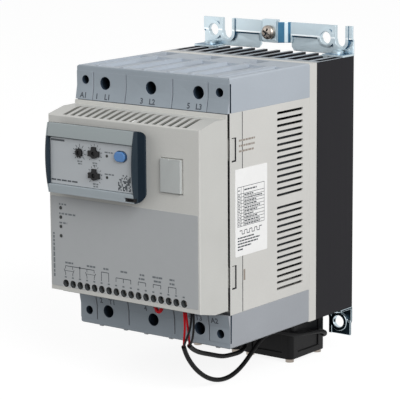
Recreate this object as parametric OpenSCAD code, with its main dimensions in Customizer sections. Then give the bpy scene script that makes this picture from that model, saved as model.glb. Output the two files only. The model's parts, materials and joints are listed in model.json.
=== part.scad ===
// Soft starter: a three-phase motor starter with terminal blocks at both ends, a finned heatsink
// with two fans at its back, and a bracket at each end that screws to a panel.
// X runs to the right, Y to the back and Z up. The origin is the middle of the mounting plane.

/* [Body] */
// Width of the body and of the heatsink
body_w = 120; // [118:1:124]
// Height from the lower to the upper cable face
body_h = 168; // [166:1:180]
// Depth of the housing and the terminal blocks
housing_d = 86; // [86:0.5:92]
// Height of each terminal block
block_h = 21.4; // [21:0.2:22]
// Depth of the frame between the housing and the heatsink
flange_d = 8.4; // [7:0.2:10]
// Wall thickness of the mouldings
wall = 2.2; // [1.8:0.1:2.4]

/* [Heatsink] */
// Depth of the heatsink
sink_d = 42.6; // [42:0.2:48]
// Thickness of its base plate
sink_base = 5; // [4.6:0.2:6]
// Distance from fin to fin
fin_pitch = 10.35; // [10.2:0.05:10.5]
// Fin thickness at the root
fin_root = 3.7; // [3.2:0.1:4.4]
// Fin thickness at the tip
fin_tip = 3; // [2.6:0.1:3.4]

/* [Terminals] */
// Distance from phase to phase
phase_pitch = 36.8; // [36:0.2:37.4]
// Diameter of the driver holes of the power terminals
driver_d = 8.2; // [8:0.1:8.6]
// Diameter of the driver holes of the small terminals
aux_d = 5.6; // [5.4:0.1:6]
// Distance from control terminal to control terminal
control_pitch = 5.875; // [5.8:0.025:5.9]
// Width of a power cable entry
entry_w = 11; // [10:0.5:11.5]

/* [Cover] */
// Width of the front cover
cover_w = 119; // [117:0.5:119]
// How far the cover stands in front of the terminal face
cover_d = 29.1; // [28.8:0.1:30]
// Width of a vent slot in the cover's sloped top
groove_w = 2.8; // [2:0.1:3.2]

/* [Setting module] */
// How far the module's ends stand in front of the cover
module_d = 11.1; // [10.6:0.1:12]
// How much further its grips bulge at mid-height
module_bulge = 2.7; // [2:0.1:3.4]
// Diameter of the two ramp dials
dial_d = 7; // [6:0.1:7.2]
// Height of the oval push button
button_d = 6.5; // [6:0.1:7]
// Half the length of the push button's straight sides
button_stretch = 1.2; // [1:0.1:1.4]

/* [Brackets] */
// Height of a bracket beyond the heatsink
bracket_h = 19.4; // [18.6:0.2:21]
// Distance between the two round holes of a bracket
hole_pitch = 91.5; // [91:0.5:92]
// Diameter of the round holes
hole_d = 8; // [7:0.1:8.2]
// Sheet thickness
sheet = 1.5; // [1.2:0.1:1.6]

/* [Fans] */
// Width of a fan frame
fan_w = 40; // [40:1:40]
// Height of a fan frame
fan_h = 28; // [25:1:28]
// Number of blades on a rotor
blades = 7; // [5:1:9]

/* [Hidden] */
$fn = 40;

// Colours of the pieces
light_grey = "#cfcec9";
cover_grey = "#c6c5c0";
block_grey = "#a3acb6";
film_grey = "#98a0a1";
navy = "#1d2a39";
black_plastic = "#1c1c1e";
anodised = "#2c2b2e";
zinc = "#b9ccd4";
steel = "#b0aca6";
copper = "#b87345";
board_green = "#2f6b45";

// Main planes, counted back from the terminal face and up from the lower cable face
half_w = body_w / 2;
full_x = [-half_w, half_w];
sink_y = housing_d + flange_d;
panel_y = sink_y + sink_d;
mid_lo = block_h;
mid_hi = body_h - block_h;
phases = [-phase_pitch, 0, phase_pitch];

// Seam between the front frame and the rear housing
seam_y = 13.4;
seam_gap = 0.4;
frame_front_y = 0.3;

// Box between two corners, each axis given as a range
module box(x, y, z) {
    translate([x[0], y[0], z[0]])
        cube([x[1] - x[0], y[1] - y[0], z[1] - z[0]]);
}

// Extrusions of an outline along each axis: outlines are (y, z), (x, z) and (x, y)
module along_x(x0, x1) {
    translate([x0, 0, 0])
        rotate([90, 0, 90])
            linear_extrude(height = x1 - x0)
                children();
}

module along_y(y0, y1) {
    translate([0, y1, 0])
        rotate([90, 0, 0])
            linear_extrude(height = y1 - y0)
                children();
}

module along_z(z0, z1) {
    translate([0, 0, z0])
        linear_extrude(height = z1 - z0)
            children();
}

// Rod along Y from one depth to another
module rod_y(x, z, y0, y1, d) {
    translate([x, y0, z])
        rotate([-90, 0, 0])
            cylinder(d = d, h = y1 - y0);
}

// Flat slot with round ends, its length along the first axis
module slot_outline(length, width) {
    square([length - width, width], center = true);
    for (s = [-1, 1])
        translate([s * (length - width) / 2, 0])
            circle(d = width);
}

// Rectangle with rounded corners
module rounded_outline(x, y, r) {
    translate([x[0] + r, y[0]])
        square([x[1] - x[0] - 2 * r, y[1] - y[0]]);
    translate([x[0], y[0] + r])
        square([x[1] - x[0], y[1] - y[0] - 2 * r]);
    for (cx = [x[0] + r, x[1] - r], cy = [y[0] + r, y[1] - r])
        translate([cx, cy])
            circle(r = r);
}

// Moves a piece from the terminal face to the mounting plane
module placed() {
    translate([0, -panel_y, -body_h / 2])
        children();
}

// Mirrors a piece of the upper end to the lower end
module at_lower_end() {
    translate([0, 0, body_h])
        mirror([0, 0, 1])
            children();
}

// Heatsink: an extrusion with a base plate, fins, two side walls and two screw ports
side_fin = 1.8;
fins_each_side = 5;
port_x = fins_each_side * fin_pitch;
port_y = panel_y - 7;
port_d = 7.2;
port_bore = 4;
thyristor_screw_z = [34, body_h - 34];
thyristor_screw_d = 5;

module heatsink_outline() {
    translate([-half_w, sink_y])
        square([body_w, sink_base]);
    for (k = [-fins_each_side : fins_each_side])
        translate([k * fin_pitch, sink_y + sink_base / 2])
            polygon([
                [-fin_root / 2, 0],
                [fin_root / 2, 0],
                [fin_tip / 2, sink_d - sink_base / 2],
                [-fin_tip / 2, sink_d - sink_base / 2]
            ]);
    for (x = [-half_w, half_w - side_fin])
        translate([x, sink_y])
            square([side_fin, sink_d]);
    for (s = [-1, 1])
        translate([s * port_x, port_y])
            circle(d = port_d);
}

module heatsink() {
    placed() color(anodised)
        difference() {
            along_z(0, body_h)
                difference() {
                    heatsink_outline();
                    for (s = [-1, 1])
                        translate([s * port_x, port_y])
                            circle(d = port_bore);
                }
            for (x = phases, z = thyristor_screw_z)
                rod_y(x, z, sink_y - 1, sink_y + sink_base - 0.6, thyristor_screw_d);
        }
}

// Frame between the housing and the heatsink, with a shadow groove along its front edge
flange_open_x = 54;
flange_open_z = 28;
flange_groove = 0.6;
plate_screw_x = 30;
plate_screw_y = housing_d + 3.4;
plate_screw_d = 2.8;
plate_screw_l = 8;

module flange_frame() {
    placed() color(light_grey)
        difference() {
            box(full_x, [housing_d, sink_y], [0, body_h]);
            box([-flange_open_x, flange_open_x], [housing_d - 1, sink_y + 1],
                [flange_open_z, body_h - flange_open_z]);
            for (s = [-1, 1])
                box([s * half_w - flange_groove, s * half_w + flange_groove],
                    [housing_d - 1, housing_d + flange_groove], [-1, body_h + 1]);
            for (s = [-1, 1])
                translate([s * plate_screw_x, plate_screw_y, -1])
                    cylinder(d = plate_screw_d, h = plate_screw_l + 1);
        }
}

// Rear housing: a sleeve with two groups of vent slots through both sides
vent_count = 28;
vent_group = 14;
vent_pitch = 4;
vent_z = 28.7;
vent_y = [50, 78.6];
vent_h = 1.7;
vent_wall = 1;

// Busbars leave the blocks through slots in the sleeve's ends
bar_left = 16;
bar_right = 4;
bar_y = [housing_d - 4, housing_d - 2];
bar_clear = 0.4;

module busbar_slots(z) {
    for (x = phases)
        box([x - bar_left - bar_clear, x + bar_right + bar_clear],
            [bar_y[0] - bar_clear, bar_y[1] + bar_clear], z);
}

module vent_outlines() {
    for (i = [0 : vent_count - 1])
        translate([(vent_y[0] + vent_y[1]) / 2,
                   vent_z + vent_pitch * (i + (i < vent_group ? 0 : 1))])
            slot_outline(vent_y[1] - vent_y[0], vent_h);
}

module rear_housing() {
    placed() color(light_grey)
        difference() {
            box(full_x, [seam_y + seam_gap / 2, housing_d], [mid_lo, mid_hi]);
            box([wall - half_w, half_w - wall], [seam_y - 1, housing_d + 1],
                [mid_lo + wall, mid_hi - wall]);
            along_x(-half_w - 1, half_w + 1)
                vent_outlines();
            box([vent_wall - half_w, half_w - vent_wall], [vent_y[0] - 2, vent_y[1] + 2],
                [mid_lo + wall + 1.4, mid_hi - wall - 1.4]);
            busbar_slots([mid_lo - 1, mid_lo + wall + 1]);
            busbar_slots([mid_hi - wall - 1, mid_hi + 1]);
        }
}

// Front frame: a ring with four windows that hold the cover's latches
latch_y = [2.6, 7.1];
latch_h = 14.8;
latch_z = [44.8, 124];
frame_lip = 0.6;

module latch_windows(grow) {
    for (s = [-1, 1], z = latch_z)
        box([s * half_w - wall - 1, s * half_w + wall + 1],
            [latch_y[0] - grow, latch_y[1] + grow],
            [z - latch_h / 2 - grow, z + latch_h / 2 + grow]);
}

module front_frame() {
    placed() color(light_grey)
        difference() {
            box(full_x, [frame_front_y, seam_y - seam_gap / 2], [mid_lo, mid_hi]);
            box([wall - half_w, half_w - wall], [-1, seam_y + 1], [mid_lo + wall, mid_hi - wall]);
            box([frame_lip - half_w, half_w - frame_lip], [frame_front_y - 1, latch_y[0] - 0.5],
                [mid_lo + wall, mid_hi - wall]);
            latch_windows(0);
        }
}

// Terminal block: driver holes in front, a ribbed tray outside and a clamp pocket for each phase
driver_z = body_h - 10.3;
driver_well_y = [2.2, 40];
driver_well_d = 13;
aux_well_y = [2.2, 18];
aux_well_d = 8.4;
aux_x = 52.8;
aux_z = body_h - 9;
aux_screw_y = 26;
aux_screw_l = 10;
pocket_x = [-17, 7];
pocket_y = [housing_d - 24, housing_d - 1.5];
pocket_z = [body_h - 18, body_h - 4.2];
entry_x = -5.5;
entry_y = [housing_d - 19.5, housing_d - 2];
tray_depth = 1.6;
tray_y = 6;
tray_x = half_w - 3;
rib_x = [-7.6, 12.4];
rib_w = 2.6;
rib_h = 0.7;
rib_y = [1.5, housing_d - 24];
step_x = [-16.5, -3.5];
step_y = [housing_d - 44, housing_d - 26];
step_depth = 4.2;
face_lean = 1.7;
lean_z = mid_hi + 8.5;
face_groove_x = [-46.3, -19.9, 17, 44];
face_groove_w = 0.8;
face_groove_depth = 0.7;
rim_h = 3.6;
rim_set_back = 0.3;
edge = 1;
corner_groove_y = [0.5, 1.9];
corner_groove_depth = 2.2;
small_slot = [4, 1.6];
small_slot_y = [15, housing_d - 1.9];

// Outline of the block from the side, (y, z): the face leans forward to the cover, and the front
// outer edge is bevelled
module block_side_outline() {
    polygon([
        [-face_lean, mid_hi],
        [0, lean_z],
        [0, body_h - edge],
        [edge, body_h],
        [housing_d, body_h],
        [housing_d, mid_hi]
    ]);
}

// Outline of the block from the front, (x, z), with its outer edges bevelled
module block_front_outline() {
    polygon([
        [-half_w, mid_hi],
        [-half_w, body_h - edge],
        [edge - half_w, body_h],
        [half_w - edge, body_h],
        [half_w, body_h - edge],
        [half_w, mid_hi]
    ]);
}

module block_body() {
    intersection() {
        along_x(-half_w, half_w)
            block_side_outline();
        along_y(-face_lean - 1, housing_d)
            block_front_outline();
    }
}

// Shallow tray of the outer face, with deeper steps and small moulding slots
module block_tray() {
    box([-tray_x, tray_x], [tray_y, pocket_y[0] - 1], [body_h - tray_depth, body_h + 2]);
    for (x = phases) {
        box([x + step_x[0], x + step_x[1]], step_y, [body_h - step_depth, body_h + 2]);
        for (y = small_slot_y)
            box([x + 3 - small_slot[0] / 2, x + 3 + small_slot[0] / 2],
                [y - small_slot[1] / 2, y + small_slot[1] / 2], [body_h - 3.4, body_h + 2]);
    }
}

module block_ribs() {
    for (x = phases, r = rib_x)
        box([x + r - rib_w / 2, x + r + rib_w / 2], rib_y, [body_h - 2, body_h + rib_h]);
}

// Driver hole and screw seat of the two small terminals, with a wire entry from outside
module aux_holes() {
    for (s = [-1, 1]) {
        rod_y(s * aux_x, aux_z, -1, aux_screw_y, aux_d);
        rod_y(s * aux_x, aux_z, aux_well_y[0], aux_well_y[1], aux_well_d);
        rod_y(s * aux_x, aux_z, aux_screw_y - 1, aux_screw_y + aux_screw_l, 3.2);
        box([s * aux_x - 2.2, s * aux_x + 2.2], [19, 23], [aux_z, body_h + 2]);
    }
}

module face_grooves() {
    for (x = face_groove_x)
        along_x(x - face_groove_w / 2, x + face_groove_w / 2)
            polygon([
                [-face_lean - 1, mid_hi - 1],
                [face_groove_depth - face_lean, mid_hi - 1],
                [face_groove_depth - face_lean, mid_hi],
                [face_groove_depth, lean_z],
                [face_groove_depth, body_h - rim_h],
                [-face_lean - 1, body_h - rim_h]
            ]);
    box([-half_w - 1, half_w + 1], [-1, rim_set_back], [body_h - rim_h, body_h + 1]);
    for (s = [-1, 1])
        box([s * half_w - corner_groove_depth, s * half_w + corner_groove_depth],
            corner_groove_y, [mid_hi - 1, body_h - rim_h]);
}

module terminal_block() {
    difference() {
        union() {
            difference() {
                block_body();
                block_tray();
            }
            block_ribs();
        }
        for (x = phases) {
            rod_y(x, driver_z, -1, pocket_y[0] + 1, driver_d);
            rod_y(x, driver_z, driver_well_y[0], driver_well_y[1], driver_well_d);
            box([x + pocket_x[0], x + pocket_x[1]], pocket_y, pocket_z);
            box([x + entry_x - entry_w, x + entry_x], entry_y, [pocket_z[1] - 1, body_h + 2]);
        }
        busbar_slots([mid_hi - 1, pocket_z[0] + 1]);
        aux_holes();
        face_grooves();
    }
}

module upper_terminal_block() {
    placed() color(block_grey)
        terminal_block();
}

module lower_terminal_block() {
    placed() color(block_grey)
        at_lower_end()
            terminal_block();
}

// Power terminals: a screw pulls a plate against the cable and the busbar behind it
power_head_d = 8;
power_head_y = [pocket_y[0] + 0.6, pocket_y[0] + 4.6];
power_thread_d = 5;
power_slot = [1.2, 1.6];
plate_y = [pocket_y[0] + 6, pocket_y[0] + 8];
plate_z = [body_h - 17, body_h - 4.8];

module power_screw_row() {
    for (x = phases)
        difference() {
            union() {
                rod_y(x, driver_z, power_head_y[0], power_head_y[1], power_head_d);
                rod_y(x, driver_z, power_head_y[1], bar_y[1], power_thread_d);
            }
            box([x - power_head_d, x + power_head_d],
                [power_head_y[0] - 1, power_head_y[0] + power_slot[1]],
                [driver_z - power_slot[0] / 2, driver_z + power_slot[0] / 2]);
        }
}

module power_screws() {
    placed() color(steel) {
        power_screw_row();
        at_lower_end()
            power_screw_row();
    }
}

module clamp_plate_row() {
    for (x = phases)
        difference() {
            box([x - bar_left, x + 5], plate_y, plate_z);
            rod_y(x, driver_z, plate_y[0] - 1, plate_y[1] + 1, power_thread_d + 0.6);
        }
}

module clamp_plates() {
    placed() color(steel) {
        clamp_plate_row();
        at_lower_end()
            clamp_plate_row();
    }
}

// Busbar: bent strip from the clamp, forward over the thyristor module and down to its terminal
bar_t = bar_y[1] - bar_y[0];
bar_bend_z = mid_hi - 9.6;
module_front_y = sink_y - 30.4;
module_pad_y = module_front_y - 2;
bar_front_y = [module_pad_y - bar_t, module_pad_y];
bar_end_z = mid_hi - 32;

module busbar_row() {
    difference() {
        for (x = phases)
            along_x(x - bar_left, x + bar_right)
                polygon([
                    [bar_y[1], plate_z[1]],
                    [bar_y[0], plate_z[1]],
                    [bar_y[0], bar_bend_z + bar_t],
                    [bar_front_y[0], bar_bend_z + bar_t],
                    [bar_front_y[0], bar_end_z],
                    [bar_front_y[1], bar_end_z],
                    [bar_front_y[1], bar_bend_z],
                    [bar_y[1], bar_bend_z]
                ]);
        for (x = phases)
            rod_y(x, driver_z, bar_y[0] - 1, bar_y[1] + 1, power_thread_d + 0.2);
    }
}

module upper_busbars() {
    placed() color(copper)
        busbar_row();
}

module lower_busbars() {
    placed() color(copper)
        at_lower_end()
            busbar_row();
}

module aux_screw_pair() {
    for (s = [-1, 1])
        difference() {
            union() {
                rod_y(s * aux_x, aux_z, aux_screw_y - 2.5, aux_screw_y, aux_d - 0.6);
                rod_y(s * aux_x, aux_z, aux_screw_y, aux_screw_y + aux_screw_l, 3);
            }
            box([s * aux_x - aux_d, s * aux_x + aux_d], [aux_screw_y - 4, aux_screw_y - 1.5],
                [aux_z - 0.4, aux_z + 0.4]);
        }
}

module aux_terminal_screws() {
    placed() color(steel) {
        aux_screw_pair();
        at_lower_end()
            aux_screw_pair();
    }
}

// Thyristor modules: a metal base against the heatsink, a moulded body and two terminal pads
thyristor_w = 32;
thyristor_base = 3;
thyristor_z = [39, body_h - 39];
pad_h = 14;

module thyristor_module(x) {
    placed() color("#3c3f45") {
        difference() {
            box([x - thyristor_w / 2, x + thyristor_w / 2], [sink_y - thyristor_base, sink_y],
                [thyristor_screw_z[0] - 5, thyristor_screw_z[1] + 5]);
            for (z = thyristor_screw_z)
                rod_y(x, z, sink_y - thyristor_base - 1, sink_y + 1, thyristor_screw_d + 0.6);
        }
        box([x - thyristor_w / 2 + 1, x + thyristor_w / 2 - 1],
            [module_front_y, sink_y - thyristor_base], thyristor_z);
        for (z = [thyristor_z[0] + 4, thyristor_z[1] - 4 - pad_h])
            box([x - 14, x + 2], [module_pad_y, module_front_y], [z, z + pad_h]);
    }
}

module thyristor_module_1() thyristor_module(phases[0]);
module thyristor_module_2() thyristor_module(phases[1]);
module thyristor_module_3() thyristor_module(phases[2]);

module thyristor_screws() {
    placed() color(steel)
        for (x = phases, z = thyristor_screw_z) {
            rod_y(x, z, sink_y - thyristor_base - 3.5, sink_y - thyristor_base, 8.5);
            rod_y(x, z, sink_y - thyristor_base, sink_y + sink_base - 0.8, thyristor_screw_d - 0.1);
        }
}

// Boards and bypass relays
power_board_y = [bar_front_y[0] - 8, bar_front_y[0] - 6.4];
control_board_y = [-12, -10.4];
board_x = [-53, 53];
spacer_d = 6;
relay_w = 29;
relay_h = 40;
relay_d = 24;

module power_board() {
    placed() color(board_green)
        box(board_x, power_board_y, [30, body_h - 30]);
}

module control_board() {
    placed() color(board_green)
        box(board_x, control_board_y, [29, 136]);
}

module board_spacers() {
    placed() color("#d8d3c4") {
        for (x = phases, z = [-14, 14])
            rod_y(x, body_h / 2 + z, power_board_y[1], module_front_y, spacer_d);
        for (x = [-48, 48], z = [50, 131])
            rod_y(x, z, control_board_y[1], power_board_y[0], spacer_d);
    }
}

module bypass_relay(x) {
    placed() color("#27303c")
        difference() {
            box([x - relay_w / 2, x + relay_w / 2], [power_board_y[0] - relay_d, power_board_y[0]],
                [body_h / 2 - relay_h / 2, body_h / 2 + relay_h / 2]);
            box([x - relay_w, x + relay_w],
                [power_board_y[0] - relay_d - 1, power_board_y[0] - relay_d + 1],
                [body_h / 2 + relay_h / 2 - 4, body_h]);
        }
}

module bypass_relay_1() bypass_relay(phases[0]);
module bypass_relay_2() bypass_relay(phases[1]);
module bypass_relay_3() bypass_relay(phases[2]);

// Front cover: a shell with a sloped top, open at the back and under the control terminals
cover_x = cover_w / 2;
cover_back_y = -0.8;
cover_corner = 0.8;
cover_foot = 28.1;
cover_heel = 24.6;
cover_heel_y = -13.3;
cover_brow = mid_hi - 6.3;
brow_edge = 0.8;
cover_bend = [-14, mid_hi - 3];
cover_lip = [-3, mid_hi - 2.9];
cover_top = mid_hi - 0.4;

function cover_outline(t) = [
    [t > 0 ? 1 : cover_back_y, cover_heel + t],
    [cover_heel_y, cover_heel + t],
    [t - cover_d, cover_foot + t],
    [t - cover_d, cover_brow - brow_edge - t],
    [t - cover_d + brow_edge, cover_brow - t],
    [cover_bend[0], cover_bend[1] - t],
    [cover_lip[0] + t, cover_lip[1] - t],
    [cover_lip[0] + t, cover_top - t],
    [t > 0 ? 1 : cover_back_y, cover_top - t]
];

// Vent slots run down the slope, where the shell is thinner
groove_y = [-27.6, -13.4];
thin_top = 1;
thin_top_x = 52;
groove_count = 17;
control_z = 33;
control_hole_d = 4.8;
strip_x = 50.5;
strip_front = 0.9;
strip_y = [strip_front + 0.1 - cover_d, control_board_y[0]];
strip_z = [27.6, 38.5];
light_x = -50.2;
light_z = [63.3, 69.3, 75.3, 81.3];
light_d = 2.2;

function control_x(i) = (i - (groove_count - 1) / 2) * control_pitch;
function slope_z(y) = cover_bend[1]
    + (y - cover_bend[0]) * (cover_brow - cover_bend[1]) / (brow_edge - cover_d - cover_bend[0]);

module vent_slots() {
    thin_y = [wall - cover_d, cover_bend[0] + 0.8];
    along_x(-thin_top_x, thin_top_x)
        polygon([
            [thin_y[1], cover_bend[1] - thin_top],
            [thin_y[1], cover_bend[1] - wall - 1],
            [thin_y[0], slope_z(thin_y[0]) - wall - 1],
            [thin_y[0], slope_z(thin_y[0]) - thin_top]
        ]);
    for (i = [0 : groove_count - 1])
        along_x(control_x(i) - groove_w / 2, control_x(i) + groove_w / 2)
            polygon([
                [groove_y[1], cover_bend[1] + 2],
                [groove_y[1], cover_bend[1] - wall - 1],
                [groove_y[0], slope_z(groove_y[0]) - wall],
                [groove_y[0], slope_z(groove_y[0]) + 2]
            ]);
}

// Latch arms inside the cover's sides, with tabs that stand in the front frame's windows
latch_gap = 0.6;

module cover_latches() {
    for (z = latch_z)
        for (s = [0, 1])
            mirror([s, 0, 0]) {
                box([cover_x - wall - 2, cover_x - wall + 0.4], [-14, latch_y[1] + 1],
                    [z - latch_h / 2 + 1, z + latch_h / 2 - 1]);
                box([cover_x - wall - 1, half_w - 0.5],
                    [latch_y[0] + latch_gap, latch_y[1] - latch_gap],
                    [z - latch_h / 2 + latch_gap, z + latch_h / 2 - latch_gap]);
            }
}

// Setting module, on the upper left of the cover
module_x = [-50.3, 19.2];
module_z = [93.2, 137];
module_end_y = -cover_d - module_d;
band_z = [98.8, 128.8];
face_x = [-48.9, 18.2];
face_y = module_end_y + 0.5;
film_t = 0.3;
web_t = 1;
web_y = [face_y + film_t, face_y + film_t + web_t];
cheek_t = 0.9;
module_arc_r = (pow((module_z[1] - module_z[0]) / 2, 2) + pow(module_bulge, 2)) / (2 * module_bulge);
module_mid_z = (module_z[0] + module_z[1]) / 2;
module_turn = [module_end_y + 1.5, -cover_d];
module_turn_h = 5.5;

// Hatch at the right of the module
hatch_x = [30.7, 46.2];
hatch_z = [100.5, 121];
hatch_t = 1.8;
hatch_rim = 1.6;
hatch_gap = 0.5;
hatch_gap_depth = 1.3;

// Shadow groove in the cover round the hatch's foot
module hatch_groove() {
    difference() {
        box([hatch_x[0] - hatch_gap, hatch_x[1] + hatch_gap],
            [-cover_d - 1, hatch_gap_depth - cover_d],
            [hatch_z[0] - hatch_gap, hatch_z[1] + hatch_gap]);
        box(hatch_x, [-cover_d - 2, hatch_gap_depth - cover_d + 1], hatch_z);
    }
}

module front_cover() {
    placed() color(cover_grey) {
        difference() {
            intersection() {
                along_x(-cover_x, cover_x)
                    polygon(cover_outline(0));
                along_z(0, body_h)
                    rounded_outline([-cover_x, cover_x], [-cover_d, cover_back_y + cover_corner],
                                    cover_corner);
            }
            along_x(wall - cover_x, cover_x - wall)
                polygon(cover_outline(wall));
            vent_slots();
            hatch_groove();
            for (i = [0 : groove_count - 1])
                rod_y(control_x(i), control_z, -cover_d - 1, wall - cover_d + 1, control_hole_d);
            for (z = light_z)
                rod_y(light_x, z, -cover_d - 1, wall - cover_d + 1, light_d + 0.2);
            box([-strip_x - 0.3, strip_x + 0.3], [strip_front - cover_d, strip_y[1] + 1],
                [cover_heel - 1, strip_z[1] + 0.2]);
            box([module_x[0] + 5, module_x[1] - 5], [-cover_d - 1, wall - cover_d + 1],
                [module_z[0] + 6, module_z[1] - 6]);
            box([hatch_x[0] + hatch_rim, hatch_x[1] - hatch_rim],
                [-cover_d - 1, wall - cover_d + 1],
                [hatch_z[0] + hatch_rim, hatch_z[1] - hatch_rim]);
        }
        cover_latches();
    }
}

// Printed film on the lower part of the cover, its lower edge cut out round each control terminal
overlay_x = [-58.2, 58];
overlay_z = [30.9, 88.5];
overlay_t = 0.25;

module cover_overlay() {
    placed() color(film_grey)
        along_y(-cover_d - overlay_t, -cover_d)
            difference() {
                rounded_outline(overlay_x, overlay_z, 0.8);
                for (i = [0 : groove_count - 1])
                    translate([control_x(i), control_z])
                        circle(d = control_hole_d + 0.3);
                for (z = light_z)
                    translate([light_x, z])
                        circle(d = light_d + 0.2);
            }
}

module access_hatch() {
    placed() color(cover_grey) {
        difference() {
            box(hatch_x, [-cover_d - hatch_t, -cover_d], hatch_z);
            translate([(hatch_x[0] + hatch_x[1]) / 2, -cover_d - hatch_t, hatch_z[1]])
                rotate([-90, 0, 0])
                    cylinder(d = 2.4, h = 0.8);
        }
        difference() {
            box([hatch_x[0] + hatch_rim + 0.2, hatch_x[1] - hatch_rim - 0.2],
                [-cover_d, wall - cover_d + 0.8],
                [hatch_z[0] + hatch_rim + 0.2, hatch_z[1] - hatch_rim - 0.2]);
            box([hatch_x[0] + 2 * hatch_rim, hatch_x[1] - 2 * hatch_rim],
                [-cover_d + 0.6, wall - cover_d + 2],
                [hatch_z[0] + 2 * hatch_rim, hatch_z[1] - 2 * hatch_rim]);
        }
    }
}

module status_light_pipes() {
    placed() color("#e4e6e2")
        for (z = light_z)
            rod_y(light_x, z, -cover_d - overlay_t - 0.1, control_board_y[0], light_d);
}

// Control terminals: one strip with a screw well in front and a wire hole below for each
well_d = 4.2;
well_l = 7.2;
wire_y = -20.5;
wire_hole_d = 3.8;
wire_hole_l = 3.4;
control_head_d = 3.7;
control_head_y = [-cover_d + 3.6, strip_y[0] + well_l];

module control_terminal_strip() {
    placed() color("#3a3f45")
        difference() {
            box([-strip_x, strip_x], strip_y, strip_z);
            for (i = [0 : groove_count - 1]) {
                rod_y(control_x(i), control_z, strip_y[0] - 1, strip_y[0] + well_l, well_d);
                translate([control_x(i), wire_y, strip_z[0] - 1])
                    cylinder(d = wire_hole_d, h = wire_hole_l + 1);
            }
        }
}

module control_terminal_screws() {
    placed() color(steel)
        for (i = [0 : groove_count - 1])
            difference() {
                rod_y(control_x(i), control_z, control_head_y[0], control_head_y[1], control_head_d);
                translate([control_x(i), control_head_y[0], control_z])
                    rotate([0, 45, 0])
                        cube([0.8, 1.4, control_head_d + 1], center = true);
            }
}

// Outline of the module from the side, (y, z): its top and foot turn in towards the cover
module module_side_outline() {
    reach = module_turn[1] - module_turn[0];
    polygon(concat(
        [[-cover_d - 30, module_z[0]]],
        [for (i = [0 : 6]) let (a = i * 15)
            [module_turn[0] + reach * sin(a), module_z[0] + module_turn_h * (1 - cos(a))]],
        [for (i = [6 : -1 : 0]) let (a = i * 15)
            [module_turn[0] + reach * sin(a), module_z[1] - module_turn_h * (1 - cos(a))]],
        [[-cover_d - 30, module_z[1]]]));
}

// Rounded front shared by the module's grips and bezel bands
module module_front() {
    intersection() {
        children();
        along_x(module_x[0] - 1, module_x[1] + 1)
            module_side_outline();
        translate([module_x[0] - 1, module_end_y - module_bulge + module_arc_r, module_mid_z])
            rotate([0, 90, 0])
                cylinder(r = module_arc_r, h = module_x[1] - module_x[0] + 2, $fn = 180);
    }
}

module module_body() {
    placed() color(navy) {
        difference() {
            module_front()
                box(module_x, [-cover_d - 30, -cover_d], module_z);
            box([face_x[0] - 0.1, face_x[1] + 0.1], [-cover_d - 31, web_y[1]],
                [module_z[0] - 1, module_z[1] + 1]);
            for (z = [[module_z[0] - 1, band_z[0]], [band_z[1], module_z[1] + 1]])
                box([module_x[0] + cheek_t, module_x[1] - cheek_t], [-cover_d - 31, web_y[1]], z);
            box([module_x[0] + 1.8, module_x[1] - 1.8], [web_y[1] - 1, -cover_d - 2.1],
                [module_z[0] + 3.8, module_z[1] - 3.8]);
            box([module_x[1] - cheek_t - 0.1, module_x[1] + 1],
                [-cover_d - 31, module_end_y + port_depth], port_z_range);
        }
        difference() {
            box([module_x[0] + 5.2, module_x[1] - 5.2], [-cover_d, wall - cover_d + 1.5],
                [module_z[0] + 6.2, module_z[1] - 6.2]);
            box([module_x[0] + 12, module_x[1] - 12], [-cover_d - 1, wall - cover_d + 3],
                [module_z[0] + 12, module_z[1] - 12]);
        }
    }
}

// Places of the controls on the module's face
current_pos = [-24.8, 120.3];
ramp_up_pos = [-12.9, 120.8];
ramp_down_pos = [-12.9, 107.2];
button_pos = [8, 121];
dial_neck_d = 4.4;
small_knob_d = 5;
dial_gap = 0.3;
module_light_x = -3.2;
module_light_z = [107, 120.2];
module_light_d = 1.8;

module control_cutouts() {
    for (p = [current_pos, ramp_up_pos, ramp_down_pos])
        translate(p)
            circle(d = dial_neck_d + 2 * dial_gap);
    translate(button_pos) {
        for (s = [-1, 1])
            translate([s * button_stretch, 0])
                circle(d = button_d + 2 * dial_gap);
        square([2 * button_stretch, button_d + 2 * dial_gap - 0.08], center = true);
    }
    for (z = module_light_z)
        translate([module_light_x, z])
            circle(d = module_light_d + 0.2);
}

// Port opening at the right end of the bezel's lower band
port_x_range = [11.2, module_x[1]];
port_z_range = [93.8, 96.3];
port_depth = 1.4;

module module_bezel() {
    placed() color("#8f989d")
        difference() {
            union() {
                for (z = [[module_z[0], band_z[0]], [band_z[1], module_z[1]]])
                    module_front()
                        box([module_x[0] + cheek_t, module_x[1] - cheek_t],
                            [-cover_d - 30, web_y[1]], z);
                box(face_x, web_y, [band_z[0] - 0.5, band_z[1] + 0.5]);
            }
            along_y(web_y[0] - 1, web_y[1] + 1)
                control_cutouts();
            box(port_x_range, [-cover_d - 30, module_end_y + port_depth], port_z_range);
        }
}

module module_face() {
    placed() color("#a9aeb1")
        along_y(face_y, web_y[0])
            difference() {
                translate([face_x[0], band_z[0]])
                    square([face_x[1] - face_x[0], band_z[1] - band_z[0]]);
                control_cutouts();
            }
}

// Board behind the face, with the trimmers that carry the dials and the button's switch
module_board_y = [-cover_d - 3.3, -cover_d - 2.1];
trimmer_h = 2.6;
dial_stem_d = 2;
knob_y = [face_y - 1.5, face_y - 0.3];
neck_end = module_board_y[0] - trimmer_h - 0.3;
stem_end = module_board_y[0] - 0.9;
button_front = face_y - 2;
button_l = 6.4;
button_travel = 1;
button_flange_t = 0.9;
button_gap = 0.2;

module module_board() {
    placed() color(board_green)
        box([module_x[0] + 4, module_x[1] - 4], module_board_y, [module_z[0] + 5, module_z[1] - 5]);
}

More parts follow.
